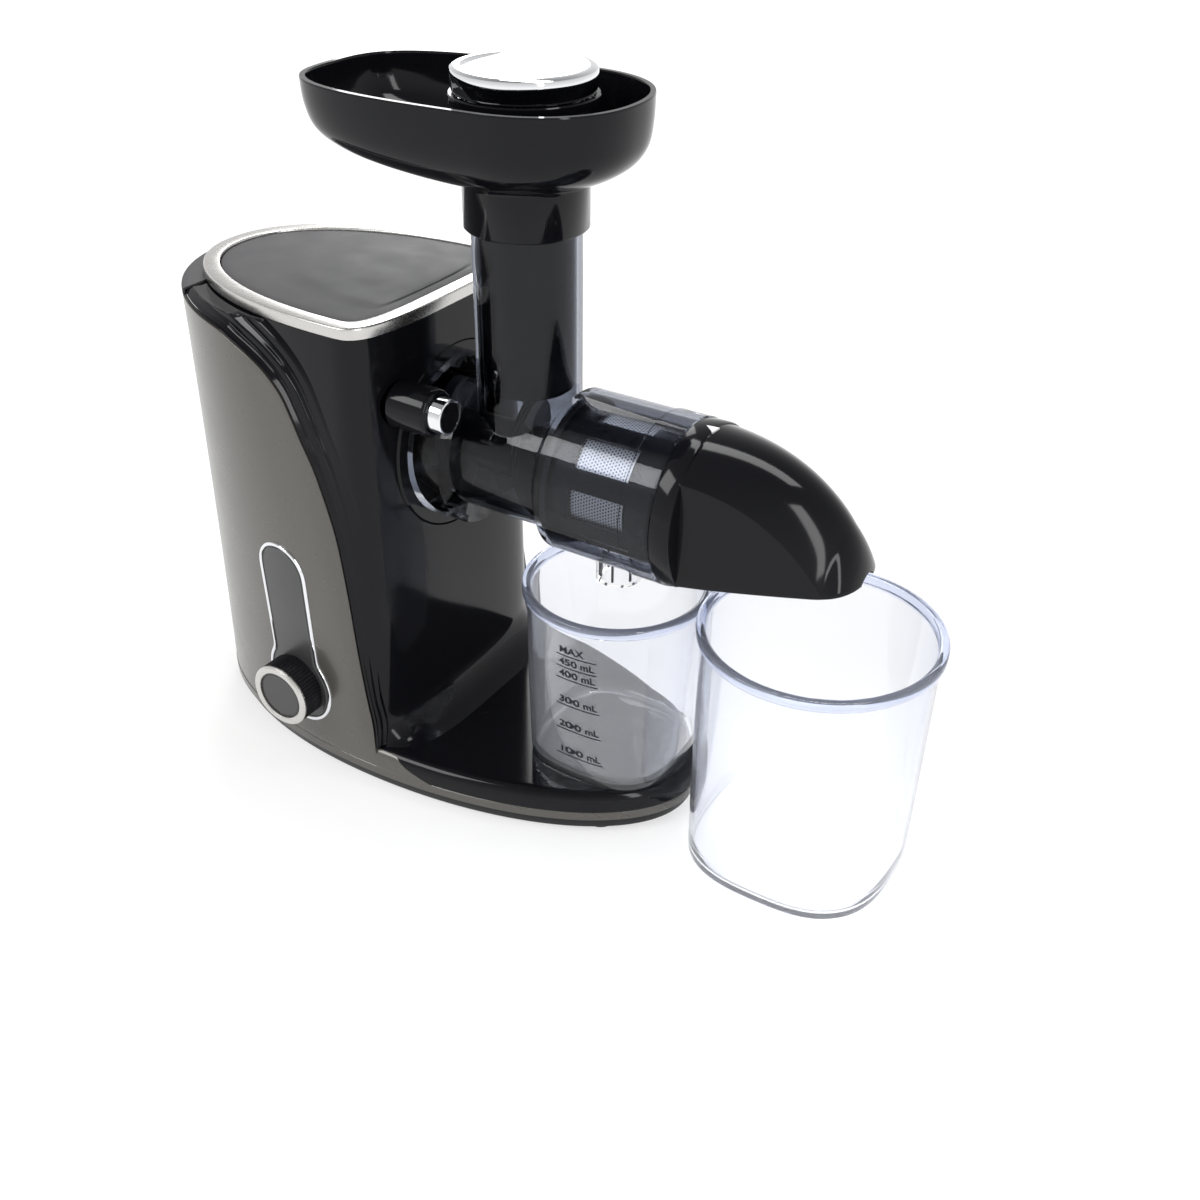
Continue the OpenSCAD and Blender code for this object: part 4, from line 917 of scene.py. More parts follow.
@dataclass
class Base:
    """Foot of the juicer: tray, ends of the grey wrap, bright strip and bottom cover."""

    middle: Pair = (-20.0, 0.0)

    def build(self) -> None:
        """Makes the tray, the two ends of the grey wrap, the bright strip and the bottom cover."""
        self.tray()
        for side in (-1, 1):
            self.tail(side)
        section = [(0, PLAN.trim_z + 0.2), (0, PLAN.trim_top - 0.2), (0.25, PLAN.trim_top), (5.4, PLAN.trim_top),
                   (5.4, PLAN.trim_z), (0.25, PLAN.trim_z)]
        mount(band("bright_strip", Finishes.WARM_GREY, PLAN.base, section, 200), "base", "warm_grey", "base_trim")
        i, low, top = PLAN.cover_inset, PLAN.foot_h, PLAN.trim_z
        rows = [(i + 1.2, low), (i + 0.4, low + 0.3), (i, low + 1.1), (i, top)]
        cover = lid("foot_cover", Finishes.SATIN_BLACK, PLAN.base, rows, self.middle)
        mount(cover, "base", "gloss_black", "bottom_cover")

    def tail(self, side: int) -> None:
        """Thin end of the grey wrap that runs out along the tray's side.

        Args:
            side: -1 for the front, 1 for the back.
        """
        low, top, r = PLAN.trim_top + 0.05, PLAN.base_h, PLAN.base_round
        crest = ((-50.0, top - 0.7), (-42.5, top - 0.9), (-38.0, 22.6), (-33.0, 19.6), (-28.5, 17.4), (-22.0, 14.8),
                 (-17.0, low + 0.1))

        def place(u: float, v: float) -> Point:
            x = mix(crest[0][0], crest[-1][0], u)
            z = mix(low, table(crest, x), v)
            turn = clamp((z - (top - r)) / r)
            y = PLAN.base(math.acos(clamp((x - PLAN.base_mid) / (PLAN.base_right - PLAN.base_mid), -1, 1)))[1]
            return x, side * (y + 0.25 - r * (1 - math.sqrt(1 - turn * turn))), z

        skin = grid_skin(48, 12, place)
        skin.outward(lambda c: Vector((0, side, 0)))
        skin.thicken(1.3)
        skin.soften(0.2)
        mount(skin.finish("wrap_tail_front" if side < 0 else "wrap_tail_back", Finishes.WARM_GREY), "base", "warm_grey")

    def tray(self) -> None:
        """Tray with a rounded rim, that the juice cup stands on."""
        r, top = PLAN.base_round, PLAN.base_h
        rim = [(r * (1 - math.cos(a)), top - r * (1 - math.sin(a))) for a in (math.radians(10 * k) for k in range(10))]
        section = [(r + 1, top - PLAN.wall), (3.0, top - r), (3.0, PLAN.trim_top + 0.02), (0.2, PLAN.trim_top + 0.02),
                   (0, PLAN.trim_top + 0.25), *rim, (r + 1.0, top)]

        def outline(angle: float, inset: float) -> Pair:
            x = PLAN.base(angle)[0]
            tuck = (PLAN.wall + PLAN.gap) * clamp((PLAN.foot_x + 4 - x) / 16)
            return PLAN.base(angle, inset + tuck)

        tray = lid("cup_tray", Finishes.GLOSS_BLACK, outline, section, self.middle, 0, 200)
        mount(tray, "base", "gloss_black", "body_shell")


@dataclass
class Control:
    """Keyhole frame on the panel and the sunk plate that the knob turns on."""

    x: float = -99.0
    z: float = 47.0
    r: float = 23.0
    w: float = 16.5
    rise: float = 67.0
    lean: float = -1.0
    line: float = 2.1

    def edge(self, inset: float) -> list[Pair]:
        """Keyhole outline about the knob's axis, moved in by an inset, with its inner corners eased."""
        r, w = self.r - inset, self.w - inset
        reach = math.hypot(self.rise, self.lean)
        low = math.sqrt(r * r - w * w)
        side = [(w, mix(low, reach, k / 60)) for k in range(60)]
        arc = [(w * math.cos(a), reach + w * math.sin(a)) for a in (math.pi * k / 60 for k in range(60))]
        down = [(-w, mix(reach, low, k / 60)) for k in range(60)]
        start, end = math.atan2(low, -w), math.atan2(low, w) + math.tau
        bowl = [(r * math.cos(a), r * math.sin(a)) for a in (mix(start, end, k / 100) for k in range(100))]
        ring = side + arc + down + bowl
        for _ in range(14):
            ring = [((ring[k - 1][0] + 2 * p[0] + ring[(k + 1) % len(ring)][0]) / 4,
                     (ring[k - 1][1] + 2 * p[1] + ring[(k + 1) % len(ring)][1]) / 4) for k, p in enumerate(ring)]
        turn = math.atan2(-self.lean, self.rise)
        return [rotated(a, b, turn) for a, b in ring]

    def lay(self, a: float, b: float, out: float) -> Point:
        """Lays a keyhole point on the tower's front skin, out from it."""
        x, z = self.x + a, self.z + b
        return x, -PLAN.width(x, z) - out, z

    def cutter(self) -> Piece:
        """Closed keyhole block for cutting the panel."""
        ring = self.edge(0.0)
        loop = ring + [ring[0]]
        rows = ((0, -40), (1, -40), (1, -100), (0, -100))

        def place(u: float, v: float) -> Point:
            (a, b), (share, y) = spot(loop, u), spot(rows, v)
            return self.x + a * share, y, self.z + mix(30, b, share)

        skin = grid_skin(len(loop) - 1, 3, place)
        return skin.finish("key_cutter", Finishes.RUBBER)

    def build(self) -> None:
        """Makes the frame and the sunk plate."""
        w = self.line
        section = [(0.02, -2.6), (0.02, 0.1), (0.12, 0.5), (0.4, 0.8), (w * 0.5, 0.88), (w - 0.4, 0.8), (w - 0.12, 0.5),
                   (w, 0.1), (w, -2.6)]
        loops = [[self.lay(a, b, out) for a, b in self.edge(inset)] for inset, out in section]
        loops.append(loops[0])
        n = len(loops[0])
        skin = grid_skin(n, len(loops) - 1, lambda u, v: spot(loops, v)[int(round(u * n)) % n])
        mount(skin.finish("keyhole_frame", Finishes.CHROME), "base", "chrome", "control_bezel")
        reach = self.rise
        rim = self.edge(w + 0.05)
        rows = [(0.0, -0.15), (0.02, -0.5), (0.06, -0.78), (0.12, -0.85)] + [(k / 12, -0.85) for k in range(2, 13)]

        def place(u: float, v: float) -> Point:
            a, b = rim[int(round(u * n)) % n]
            share, out = spot(rows, v)
            return self.lay(mix(a, 0, share), mix(b, clamp(b, 0, reach), share), out)

        skin = grid_skin(n, len(rows) - 1, place)
        skin.thicken(1.4)
        mount(skin.finish("sunk_plate", Finishes.INLAY_GREY), "base", "satin_grey", "control_inlay")


@dataclass
class Release:
    """Release button and the round boss that it slides in, along the auger's direction."""

    y: float = -42.0
    z: float = 207.0
    tip: float = -14.0
    front: float = -21.0
    back: float = -42.0
    boss: float = 11.2
    r: float = 8.3
    wall: float = 0.8

    def build(self) -> None:
        """Turns the boss and the button."""
        k, n, m, r, t = self.r + 0.3, self.front, self.boss, self.r, self.tip
        centre = (0, self.y, self.z)
        boss = [(k, self.back), (m, self.back), (m, n - 2.2), (m - 0.25, n - 1.0), (m - 0.9, n - 0.25), (m - 1.6, n),
                (k + 0.3, n), (k, n - 0.4), (k, self.back)]
        sleeve = [(0, n - 10), (r, n - 10), (r, t - 0.9), (r - 0.15, t - 0.4), (r - 0.6, t - 0.05), (r - 1.4, t),
                  (r - 1.5, t - 0.5), (0, t - 0.5)]
        face = [(0, t - 0.45), (r - 1.55, t - 0.45), (r - 1.6, t - 0.25), (r - 2.4, t - 0.15), (0, t)]
        mount(lathe("button_boss", Finishes.GLOSS_BLACK, boss, centre, "x"), "base", "gloss_black", "button_housing")
        for name, finish, profile, slot in (("button_sleeve", Finishes.CHROME, sleeve, "chrome"),
                                            ("button_face", Finishes.GLOSS_BLACK, face, "gloss_black")):
            mount(lathe(name, finish, profile, centre, "x"), "release_button", slot, "button_cap")


@dataclass
class Chamber:
    """Smoky clear chamber with its clear nozzle, and the strainer basket inside it."""

    nozzle_x: float = 49.5
    nozzle_r: float = 8.2
    nozzle_top: float = 136.0
    nozzle_foot: float = 125.0
    cage_r: float = 32.0
    cage_x: tuple[float, ...] = (28.2, 31.2, 36.0, 41.0, 48.25, 55.5, 62.75, 70.0, 76.0, 83.2, 93.6)
    window: Pair = (41.0, 70.0)
    pitch: float = 45.0
    open_half: float = 13.5
    flange_r: float = 35.2
    hub: tuple[float, float, float] = (87.2, 8.0, 6.0)

    def copy(self, node: Piece) -> Skin:
        """Starts a skin from a merged copy of a node's mesh."""
        skin = Skin()
        skin.bm.from_mesh(node.data)
        bmesh.ops.remove_doubles(skin.bm, verts=skin.bm.verts, dist=0.002 * MM)
        return skin

    def build(self, nodes: dict[str, Piece]) -> None:
        """Makes the shell, the strainer's cage and spokes, and the bars in the nozzle.

        Args:
            nodes: CAD objects by node name.
        """
        skin = self.copy(nodes["chamber_body"])
        for face in skin.bm.faces:
            face.material_index = int(face.calc_center_median().z < self.nozzle_top * MM)
        shell = skin.finish("chamber_shell", Finishes.SMOKE, 30)
        shell.data.materials.append(PALETTE.get(Finishes.NOZZLE))
        round_off(shell, [((self.nozzle_x, 0, 0), (0, 0, 1)), ((0, 0, 0), (0, 0, 1)), ((0, 0, PLAN.axis_z), (1, 0, 0))])
        mount(shell, "chamber", "smoke", "chamber_body")
        self.basket()
        self.spider()
        self.bars()

    def basket(self) -> None:
        """Makes the strainer's cage: a sleeve with a row of windows, its end ring and its rear flange."""

        def place(u: float, v: float) -> Point:
            a, x = math.tau * v, spot(self.cage_x, u)
            return x, self.cage_r * math.sin(a), PLAN.axis_z + self.cage_r * math.cos(a)

        skin = grid_skin(len(self.cage_x) - 1, 160, place)
        axis = put(0, 0, PLAN.axis_z)
        gone = []
        for face in skin.bm.faces:
            way = (face.calc_center_median() - axis) / MM
            turn = math.degrees(math.atan2(way.y, way.z)) % self.pitch
            if self.window[0] < way.x < self.window[1] and min(turn, self.pitch - turn) < self.open_half:
                gone.append(face)
        bmesh.ops.delete(skin.bm, geom=gone, context="FACES")
        skin.outward(lambda c: Vector((0, c.y - axis.y, c.z - axis.z)))
        skin.thicken(1.5)
        skin.soften(0.25)
        x, r, m = self.cage_x[0], self.cage_r - 0.6, self.flange_r
        rear = [(r, 0), (m - 0.3, 0), (m, 0.3), (m, 2.7), (m - 0.3, 3), (r, 3), (r, 0)]
        skin.turned(rear, (x, 0, PLAN.axis_z), "x", 128)
        mount(skin.finish("strainer_cage", Finishes.CAGE_BLACK, 30), "chamber", "gloss_black", "strainer_frame")

    def spider(self) -> None:
        """Makes the three spokes and the hub that the auger's nose turns in."""
        x, r, long = self.hub
        skin = Skin()
        skin.turned([(4.6, 0), (r - 0.5, 0), (r, 0.5), (r, long - 0.5), (r - 0.5, long), (4.6, long), (4.6, 0)],
                    (x, 0, PLAN.axis_z), "x", 64)
        reach = self.cage_r - 2 - r
        for k in range(3):
            turn = Matrix.Rotation(math.radians(120 * k), 4, "X")
            out = Matrix.Translation((0, 0, (r - 0.8 + reach / 2) * MM))
            skin.block(Matrix.Translation(put(x + 2.6, 0, PLAN.axis_z)) @ turn @ out, (4.6, 3.0, reach + 2.0))
        skin.soften(0.3)
        mount(skin.finish("strainer_spider", Finishes.CAGE_BLACK, 30), "chamber", "gloss_black", "strainer_frame")

    def bars(self) -> None:
        """Makes the short upright bars in the nozzle's mouth."""
        skin = Skin()
        for k in range(6):
            turn = math.radians(60 * k - 20)
            middle = put(self.nozzle_x + self.nozzle_r * math.cos(turn), self.nozzle_r * math.sin(turn),
                         (self.nozzle_top + self.nozzle_foot) / 2)
            skin.block(Matrix.Translation(middle) @ Matrix.Rotation(turn, 4, "Z"),
                       (0.9, 1.1, self.nozzle_top - self.nozzle_foot))
        skin.soften(0.25)
        mount(skin.finish("nozzle_bars", Finishes.SATIN_BLACK), "chamber", "gloss_black")


@dataclass
class Spout:
    """Pulp spout: the ring on the chamber's end, with its white triangle, and the hooded beak."""

    seam: float = 86.2
    length: float = 86.0
    lip: float = 163.0
    mouth: float = 149.5
    w: float = 31.0
    nose: float = 22.0
    drum: float = 38.4
    bore: float = 35.9
    ring: float = 10.0
    wall: float = 2.6
    marker: tuple[Pair, ...] = ((91.6, 0.2), (96.8, -4.2), (97.6, 0.9))
    middle: Pair = (95.3, -1.0)

    def along(self, x: float) -> float:
        """Share of the spout's length at X."""
        return (x - self.seam) / self.length

    def crown(self, x: float) -> float:
        """Height of the top line at X."""
        s = clamp(self.along(x))
        return self.lip + 1 + (PLAN.axis_z + self.drum - self.lip - 1) * (1 - s ** 2.7) ** (1 / 1.5)

    def half(self, x: float) -> float:
        """Half width of the flat sides at X."""
        s = self.along(x)
        close = 1.0 if s < 0.8 else max(0.0, 1 - ((s - 0.8) / 0.2) ** 2.5) ** 0.4
        return mix(self.w, self.nose, min(1.0, s / 0.87)) * close

    def lower(self, x: float) -> float:
        """Height of the mouth's edge at X."""
        return mix(self.mouth, self.lip, max(0.0, (self.along(x) - 0.1) / 0.9) ** 1.2)

    def ridge(self, x: float) -> float:
        """Height of the edge between the crown and the flat side."""
        s = self.along(x)
        return max(self.crown(x) - mix(13.5, 24, (s / 0.8) ** 2), self.lower(x) + 0.6)

    def build(self) -> None:
        """Makes the beak, its ring and the white triangle on it."""
        x0, x1 = self.seam + self.ring - 1, self.seam + self.length - 0.3
        cols, side = 64, 12

        def place(u: float, v: float) -> Point:
            x = mix(x0, x1, math.sin(u * math.pi / 2))
            w, t, r, b = max(self.half(x), 0.4), self.crown(x), self.ridge(x), self.lower(x)
            k = int(round(v * cols))
            if k <= side:
                return x, -w, mix(b, r, k / side)
            if k >= cols - side:
                return x, w, mix(b, r, (cols - k) / side)
            s = mix(-1, 1, (k - side) / (cols - 2 * side))
            return x, w * s, t - (t - r) * s * s

        skin = grid_skin(60, cols, place, 0.01)
        skin.thicken(self.wall)
        skin.soften(0.9, 30, 3)
        mount(skin.finish("spout_beak", Finishes.GLOSS_BLACK, 40), "spout", "gloss_black", "pulp_spout")
        r, n = self.drum + 0.4, self.ring
        profile = [(self.bore, 0.2), (r - 0.6, 0), (r - 0.15, 0.15), (r, 0.6), (r, n - 1.2), (r - 0.35, n - 0.35),
                   (r - 1.2, n), (0, n), (0, n - 2.2), (self.bore, n - 2.2), (self.bore, 0.2)]
        ring = lathe("spout_ring", Finishes.GLOSS_BLACK, profile, (self.seam, 0, PLAN.axis_z), "x", 160)

        def tool(u: float, v: float) -> Point:
            x = mix(self.seam + 2, self.seam + 30, u)
            w = self.half(self.seam + 10) - self.wall
            loop = ((-w, 120), (-w, 192), (-w * 0.6, 199), (0, 203), (w * 0.6, 199), (w, 192), (w, 120), (-w, 120))
            y, z = spot(loop, v)
            return x, y, z

        skin = grid_skin(1, 7, tool)
        bmesh.ops.holes_fill(skin.bm, edges=[e for e in skin.bm.edges if e.is_boundary], sides=0)
        skin.weld()
        hole = skin.finish("beak_cutter", Finishes.RUBBER)
        mount(carved(ring, [hole], Finishes.GLOSS_BLACK), "spout", "gloss_black", "pulp_spout")
        self.arrow()

    def arrow(self) -> None:
        """Makes the small white triangle on the ring."""
        loop = [(*corner, 0.0) for corner in self.marker]
        loop.append(loop[0])

        def place(u: float, v: float) -> Point:
            x, y, _ = spot(loop, u)
            share, deep = spot(((0.0, 0.0), (0.97, 0.0), (1.0, 0.06), (1.0, 1.6)), v)
            x, y = mix(self.middle[0], x, share), mix(self.middle[1], y, share)
            return x, y, PLAN.axis_z + math.sqrt((self.drum + 0.75) ** 2 - y * y) - deep

        skin = grid_skin(3, 3, place)
        mount(skin.finish("white_arrow", Finishes.WHITE), "spout", "white", "lock_marker")


@dataclass
class Hopper:
    """Feed tray and its sleeve."""

    top: float = 342.0
    floor: float = 307.0
    mid: float = 2.6
    long: float = 102.0
    short: float = 51.0
    half: float = 48.5
    sleeve: float = 27.4
    low: float = 285.0
    seat: float = 300.3
    bore: float = 21.5
    tube: float = 24.6
    wall: float = 2.6
    turn: float = 3.5
    shape: tuple[Pair, ...] = ((0, 0), (0.3, 0.05), (0.6, 0.15), (0.8, 0.27), (0.93, 0.44), (0.985, 0.7), (1, 1))

    def build(self) -> None:
        """Makes the tray and sleeve as one closed piece: rows of share, height and inset, or a radius below 0."""
        curve = smooth(self.shape, 6)
        rise = self.top - self.floor
        outer = [(m, self.floor + rise * p, 0.0) for m, p in curve]
        inner = [(m, self.floor + rise * p + self.wall * (1 - p), self.wall) for m, p in reversed(curve)]
        rim = [(1.0, self.top - 0.05, k) for k in (0.25, 0.7, 1.3, 1.9, 2.35)]
        outer[-1] = (1.0, self.top - 0.6, 0.0)
        inner[0] = (1.0, self.top - 0.6, self.wall)
        bore, tube, sleeve = -self.bore, -self.tube, -self.sleeve
        neck = [(0, self.floor + 2.2, bore), (0, self.seat, bore), (0, self.seat, tube), (0, self.low + 0.4, tube),
                (0, self.low, tube - 0.4), (0, self.low, sleeve + 0.6), (0, self.low + 0.6, sleeve),
                (0, self.floor - 3.0, sleeve), (0, self.floor - 0.9, sleeve - 0.9)]
        loop = outer + rim + inner + neck
        loop.append(loop[0])
        turn = math.radians(self.turn)

        def place(u: float, v: float) -> Point:
            m, z, d = spot(loop, v)
            a = u * math.tau
            if d < 0:
                x, y = -d * math.cos(a), -d * math.sin(a)
            else:
                r = self.sleeve + 2.2 if d == 0 else self.bore + 1.2
                ex, ey = egg(a, self.long - d, self.short - d, self.half - d, 3.2, 2.2)
                m = ease(m) * 0.25 + m * 0.75 if m < 0.3 else m
                x, y = mix(r * math.cos(a), self.mid + ex, m), mix(r * math.sin(a), ey, m)
            return *rotated(x, y, turn), z

        skin = grid_skin(192, len(loop) - 1, place)
        mount(skin.finish("feed_tray", Finishes.GLOSS_BLACK, 50), "hopper", "gloss_black", "hopper")


@dataclass
class Pusher:
    """Food pusher: black stem and bright cap."""

    cap_r: float = 31.3
    top: float = 351.0
    r: float = 20.7
    foot: float = 211.0
    seat: float = 312.0

    def build(self) -> None:
        """Makes the stem and the cap by turning."""
        r, low, seat, top = self.r, self.foot, self.seat, self.top
        f, c = top - 10.5, self.cap_r - 0.7
        stem = [(0, low), (r - 2.4, low), (r - 1.2, low + 0.3), (r - 0.3, low + 1.2), (r, low + 2.4), (r, seat),
                (r + 3.6, seat + 0.9), (r + 4, seat + 1.6), (r + 4, f - 9), (r + 5, f - 7), (c, f - 4.4),
                (c + 0.8, f - 3.8), (c + 1, f - 3), (c + 1, f - 0.5), (c + 0.6, f - 0.05), (c - 1, f), (c - 2, f - 2.5),
                (0, f - 2.5)]
        made = lathe("pusher_body", Finishes.GLOSS_BLACK, stem, (0, 0, 0), angle=28)
        mount(made, "pusher", "gloss_black", "pusher_stem")
        cap = [(0, f - 2.5), (c - 6, f - 2.5), (c - 5.6, f), (c - 1.6, f + 0.2), (c - 0.9, f + 0.5), (c - 0.5, f + 1.2),
               (c, f + 7), (c - 0.05, top - 1.8), (c - 0.35, top - 1.0), (c - 1.2, top - 0.35), (c - 2.4, top - 0.05),
               (c - 3.4, top), (c - 4.6, top - 0.25), (c - 7, top - 0.8), (c - 12, top - 1.3), (c - 20, top - 1.6),
               (0, top - 1.7)]
        mount(lathe("pusher_button", Finishes.CHROME, cap, (0, 0, 0), "z", 128, 28), "pusher", "chrome", "pusher_cap")


@dataclass
class Cup:
    """Clear cup with a rounded square foot, a round mouth and a thick tinted lip."""

    name: str
    x: float
    y: float
    z: float
    foot: float
    rim: float
    h: float
    n: float
    wall: float = 2.0
    lip: float = 2.4
    lip_h: float = 5.0
    type_size: float = 5.2
    ink_h: float = 0.03
    ink_bold: float = 0.14
    marks: tuple[tuple[float, str], ...] = ()

    def reach(self, share: float, angle: float, inset: float = 0.0) -> Pair:
        """Point of the cup's outline at a share of its height."""
        s = min(1.0, share / (1 - self.lip_h / self.h))
        a = mix(self.foot, self.rim - self.lip, s) - inset
        n = mix(self.n, 2, s)
        return egg(angle, a, a, a, n, n)

    def build(self) -> None:
        """Makes the cup, its lip and its scale, from rows of share, inset, height and reach."""
        h, w = self.h, self.wall
        low = 1 - self.lip_h / h
        up = [mix(0.05, low, k / 16) for k in range(17)]
        r, t, b = -self.lip, h, h - self.lip_h
        foot = [(0.0, 0.0, 0.0, 0.0), (0.0, 3.2, 0.0, 0.5)]
        outer = [(0.0, 3.2, 0.0), (0.0, 1.6, 0.25), (0.004, 0.6, 0.9), (0.015, 0.1, 2.2)]
        outer += [(f, 0.0, f * h) for f in up]
        bead = [(1, r + 0.5, b), (1, r, b + 0.8), (1, r, t - 1.0), (1, r + 0.3, t - 0.35), (1, r + 1.0, t), (1, 0.4, t),
                (1, w - 0.6, t - 0.3), (1, w, t - 1.0)]
        inner = [(f, w, f * h) for f in reversed(up)]
        inner += [(0.03, w + 0.6, 4.2), (0.02, w + 1.8, 3.1), (0.02, w + 3.4, 2.6)]
        floor = [(0.02, w + 3.4, 2.5, 0.5), (0.02, w, 2.5, 0.0)]
        rows = foot + [(*row, 1.0) for row in outer + bead + inner] + floor

        def place(u: float, v: float) -> Point:
            share, inset, z, k = spot(rows, v)
            x, y = self.reach(share, u * math.tau, inset)
            return self.x + x * k, self.y + y * k, self.z + z

        skin = grid_skin(144, len(rows) - 1, place)
        edge = (self.z + b - 0.1) * MM
        for face in skin.bm.faces:
            face.material_index = int(face.calc_center_median().z > edge)
        piece = skin.finish(f"{self.name}_wall", Finishes.CUP, 50)
        piece.data.materials.append(PALETTE.get(Finishes.CUP_RIM))
        mount(piece, self.name, "clear", self.name)
        for height, word in self.marks:
            self.mark(height, word)

    def mark(self, height: float, word: str, facing: float = -87.0) -> None:
        """Prints a word and its line on the cup's wall.

        Args:
            height: Height of the word's foot over the cup's foot.
            word: The text.
            facing: Direction of the print about the cup's axis, in degrees.
        """
        text = bpy.data.curves.new(f"{self.name}_text", "FONT")
        text.body, text.align_x = word, "LEFT"
        text.size, text.extrude, text.offset = self.type_size, self.ink_h, self.ink_bold
        made = in_scene("text", text)
        graph = bpy.context.evaluated_depsgraph_get()
        mesh = bpy.data.meshes.new_from_object(made.evaluated_get(graph))
        bpy.data.objects.remove(made)
        bm = bmesh.new()
        bm.from_mesh(mesh)
        line = bmesh.ops.create_grid(bm, x_segments=12, y_segments=1, size=1.0)["verts"]
        for vert in line:
            vert.co = Vector((mix(-1.5, 17, (vert.co.x + 1) / 2), -1.6 + 0.32 * vert.co.y, 0.0))
        for vert in bm.verts:
            z = height + vert.co.y
            a = math.radians(facing) + (vert.co.x - 7) / (self.foot * 1.08)
            x, y = self.reach(z / self.h, a, -0.12 - vert.co.z)
            vert.co = put(self.x + x, self.y + y, self.z + z)
        bm.to_mesh(mesh)
        bm.free()
        piece = dress(mesh, f"{self.name}_mark_{word}".replace(" ", "_"), Finishes.PRINT)
        mount(piece, self.name, "gloss_black")


class Carried:
    """Better materials on the CAD nodes that keep their own shape, by node name."""

    LOOKS: dict[Finishes, str] = {
        Finishes.RUBBER: "foot_pads shaft_seal cord_gland chamber_seal spout_seal",
        Finishes.STEEL: "bottom_screws gearbox_screws motor_can motor_shaft motor_pinion middle_pinion middle_shaft "
                        "output_shaft auger_shank knob_shaft button_stem button_spring",
        Finishes.GLOSS_BLACK: "lock_flange",
        Finishes.NYLON: "gearbox_case gearbox_cover middle_gear auger_gear",
        Finishes.BRONZE: "gearbox_bushes",
        Finishes.SATIN_BLACK: "motor_end_cap motor_cradle rotary_switch cooling_fan auger knob_grip",
        Finishes.MAGNET: "stator_magnets rotor_core",
        Finishes.BOARD: "circuit_board",
        Finishes.RING_METAL: "knob_ring",
        Finishes.INLAY_GREY: "knob_cap",
        Finishes.SIEVE: "strainer_mesh"}

    def build(self, nodes: dict[str, Piece]) -> None:
        """Assigns the materials.

        Args:
            nodes: CAD objects by node name.
        """
        for finish, names in self.LOOKS.items():
            for name in names.split():
                for place in nodes[name].material_slots:
                    place.material = PALETTE.get(finish)
            log.info("%s on %s", finish.name, names)


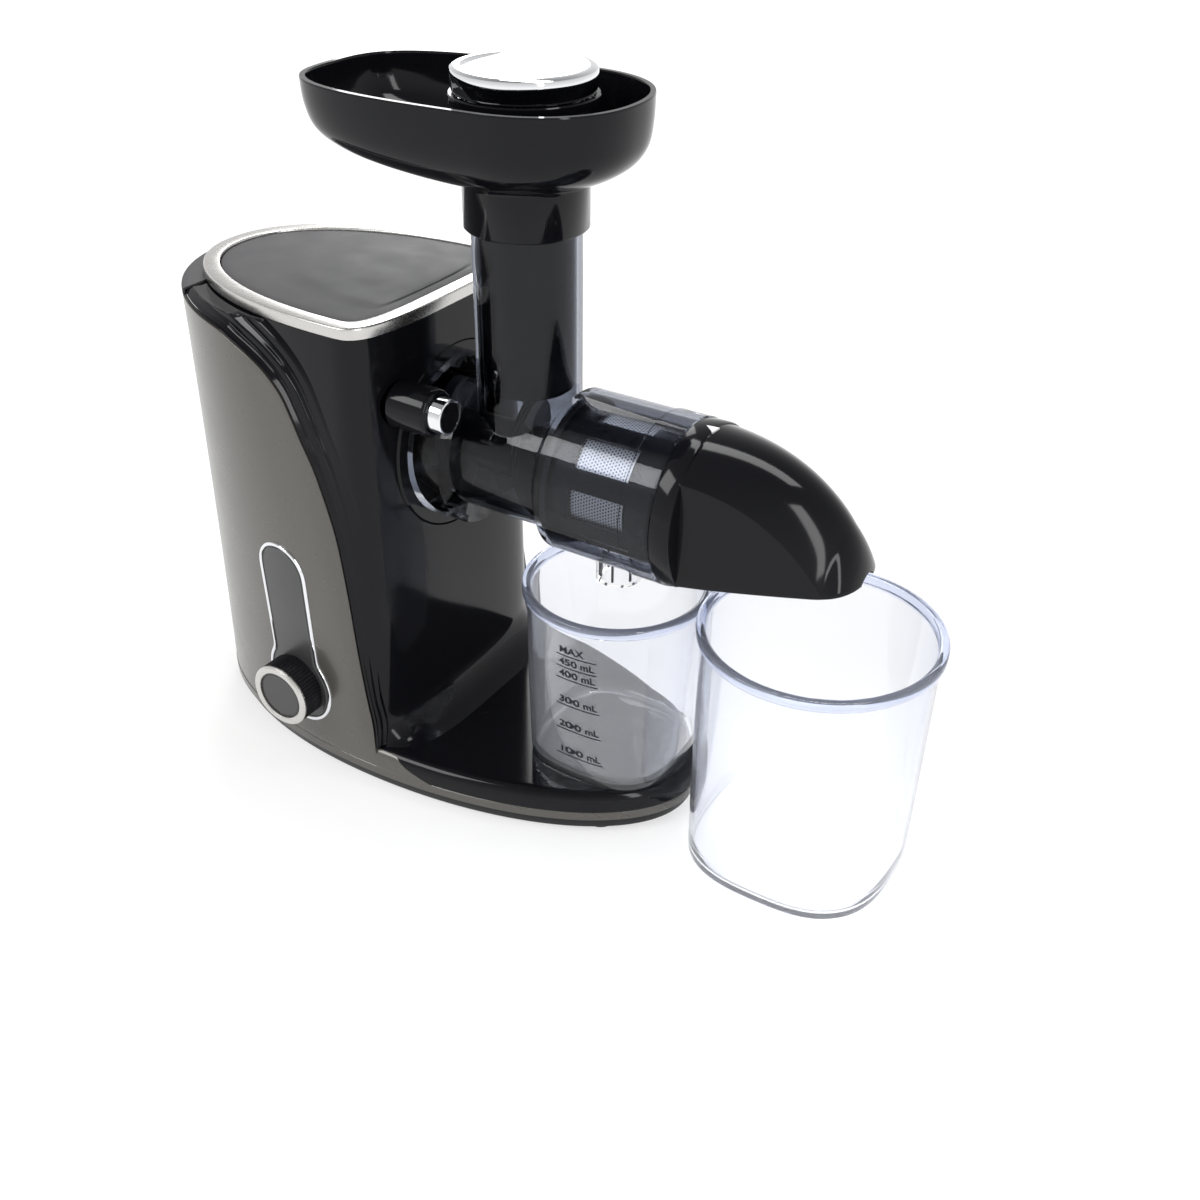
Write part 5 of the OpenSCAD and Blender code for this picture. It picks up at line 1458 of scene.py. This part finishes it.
@dataclass
class Studio:
    """Pale floor, white surroundings, soft lamps and the camera."""

    azimuth: float = 31.4221
    elevation: float = 32.8641
    roll: float = 0.6947
    focal: float = 1369.38
    place: Point = (332.136, -479.588, 469.536)
    glow: float = 1.16
    shade_r: float = 0.28
    fade: float = 0.7
    lamps: tuple[tuple[str, Point, Point, Pair, float], ...] = (
        ("key", (-0.9, -1.3, 1.6), (-0.05, 0, 0.15), (1.1, 0.8), 21),
        ("fill", (1.35, -0.8, 1.0), (0, 0, 0.15), (0.25, 1.3), 8),
        ("top", (0.1, 0.35, 1.7), (0, 0, 0.2), (1.5, 0.35), 14),
        ("rim", (-0.9, 1.1, 0.9), (0, 0, 0.15), (0.3, 1.2), 5))

    def camera(self) -> None:
        """Places the camera."""
        a, e, r = (math.radians(v) for v in (self.azimuth, self.elevation, self.roll))
        back = Vector((math.sin(a) * math.cos(e), -math.cos(a) * math.cos(e), math.sin(e)))
        right = Vector((math.cos(a), math.sin(a), 0))
        up = back.cross(right)
        across = math.cos(r) * right + math.sin(r) * up
        over = -math.sin(r) * right + math.cos(r) * up
        data = bpy.data.cameras.new("camera")
        data.sensor_width, data.lens = SENSOR, self.focal / FRAME_PX * SENSOR
        data.clip_start, data.clip_end = 0.01, 20
        made = in_scene("camera", data)
        turn = Matrix((across, over, back)).transposed().to_4x4()
        made.matrix_world = Matrix.Translation(put(*self.place)) @ turn
        bpy.context.scene.camera = made

    def lamp(self, name: str, at: Point, aim: Point, size: Pair, power: float) -> None:
        """Adds a soft rectangular lamp.

        Args:
            name: Its name.
            at: Where it hangs, in metres.
            aim: What it faces, in metres.
            size: Width and height, in metres.
            power: Watts.
        """
        data = bpy.data.lights.new(name, "AREA")
        data.shape, data.size, data.size_y, data.energy = "RECTANGLE", *size, power
        made = in_scene(name, data)
        made.location = at
        made.rotation_euler = (Vector(aim) - Vector(at)).to_track_quat("-Z", "Y").to_euler()

    def floor(self) -> None:
        """Lays the pale floor: matt under the juicer, and as white as its surroundings further out."""
        skin = Skin()
        bmesh.ops.create_grid(skin.bm, x_segments=1, y_segments=1, size=6.0)
        g = Graph("pale_floor")
        tone = g.noise((3.0, 3.0, 3.0), 2.0)
        pale = g.blend(tone, (0.86, 0.86, 0.86), (0.88, 0.88, 0.88))
        matt = g.node("ShaderNodeBsdfPrincipled", {}, {"Base Color": pale, "Roughness": 0.6, "Specular IOR Level": 0.2})
        white = g.node("ShaderNodeEmission", {}, {"Color": (1.0, 1.0, 1.0), "Strength": self.glow})
        x, y, _ = g.axes()
        far = ((x * x + y * y).apply("SQRT") - self.shade_r).apply("MAXIMUM", 0.0)
        away = far.apply("MINIMUM", self.fade) / self.fade
        eye, mirrored = g.white_rays()
        share = (away * 0.5 + 0.5) * eye.apply("MAXIMUM", mirrored)
        both = g.node("ShaderNodeMixShader", {}, {0: share, 1: matt.outputs[0], 2: white.outputs[0]})
        g.node("ShaderNodeOutputMaterial", {}, {0: both.outputs[0]})
        mesh = bpy.data.meshes.new("floor")
        skin.bm.to_mesh(mesh)
        skin.bm.free()
        mesh.materials.append(g.material)
        made = in_scene("floor", mesh)
        made.location.z = -FLOOR_DROP

    def sky(self) -> None:
        """White surroundings: full where they are seen, fading overhead where they are mirrored, softer as a light."""
        g = Graph("surroundings", True)
        bpy.context.scene.world = g.material
        split = g.node("ShaderNodeSeparateXYZ", {}, {0: g.node("ShaderNodeTexCoord").outputs["Generated"]})
        up = Value(g, split.outputs[2]).apply("MAXIMUM", 0.0)
        eye, mirrored = g.white_rays()
        glow = (1.0 - up * 0.75) * mirrored + 0.5 * (1.0 - mirrored)
        ground = g.node("ShaderNodeBackground", {}, {"Color": (1.0, 1.0, 1.0), "Strength": glow.apply("MAXIMUM", eye)})
        g.node("ShaderNodeOutputWorld", {}, {0: ground.outputs[0]})

    def build(self) -> None:
        """Makes the stage."""
        self.camera()
        self.floor()
        self.sky()
        for row in self.lamps:
            self.lamp(*row)
        bpy.context.scene.view_settings.view_transform = "Standard"


def main() -> None:
    """Builds the scene, sub-assembly by sub-assembly."""
    logging.basicConfig(level=logging.INFO, format="%(message)s")
    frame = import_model()
    key = Control()
    Tower(key=key).build()
    Base().build()
    key.build()
    Release().build()
    Chamber().build(frame["nodes"])
    Spout().build()
    Hopper().build()
    Pusher().build()
    scale = ((79.0, "MAX"), (72.0, "450 mL"), (65.0, "400 mL"), (49.0, "300 mL"), (33.5, "200 mL"), (17.0, "100 mL"))
    Cup("juice_cup", 49.0, 0.0, 24.0, 38.5, 46.0, 97.9, 2.9, marks=scale).build()
    Cup("pulp_cup", 152.0, 6.0, 0.0, 50.1, 56.4, 127.5, 2.8).build()
    Carried().build(frame["nodes"])
    Studio().build()


if __name__ == "__main__":
    main()
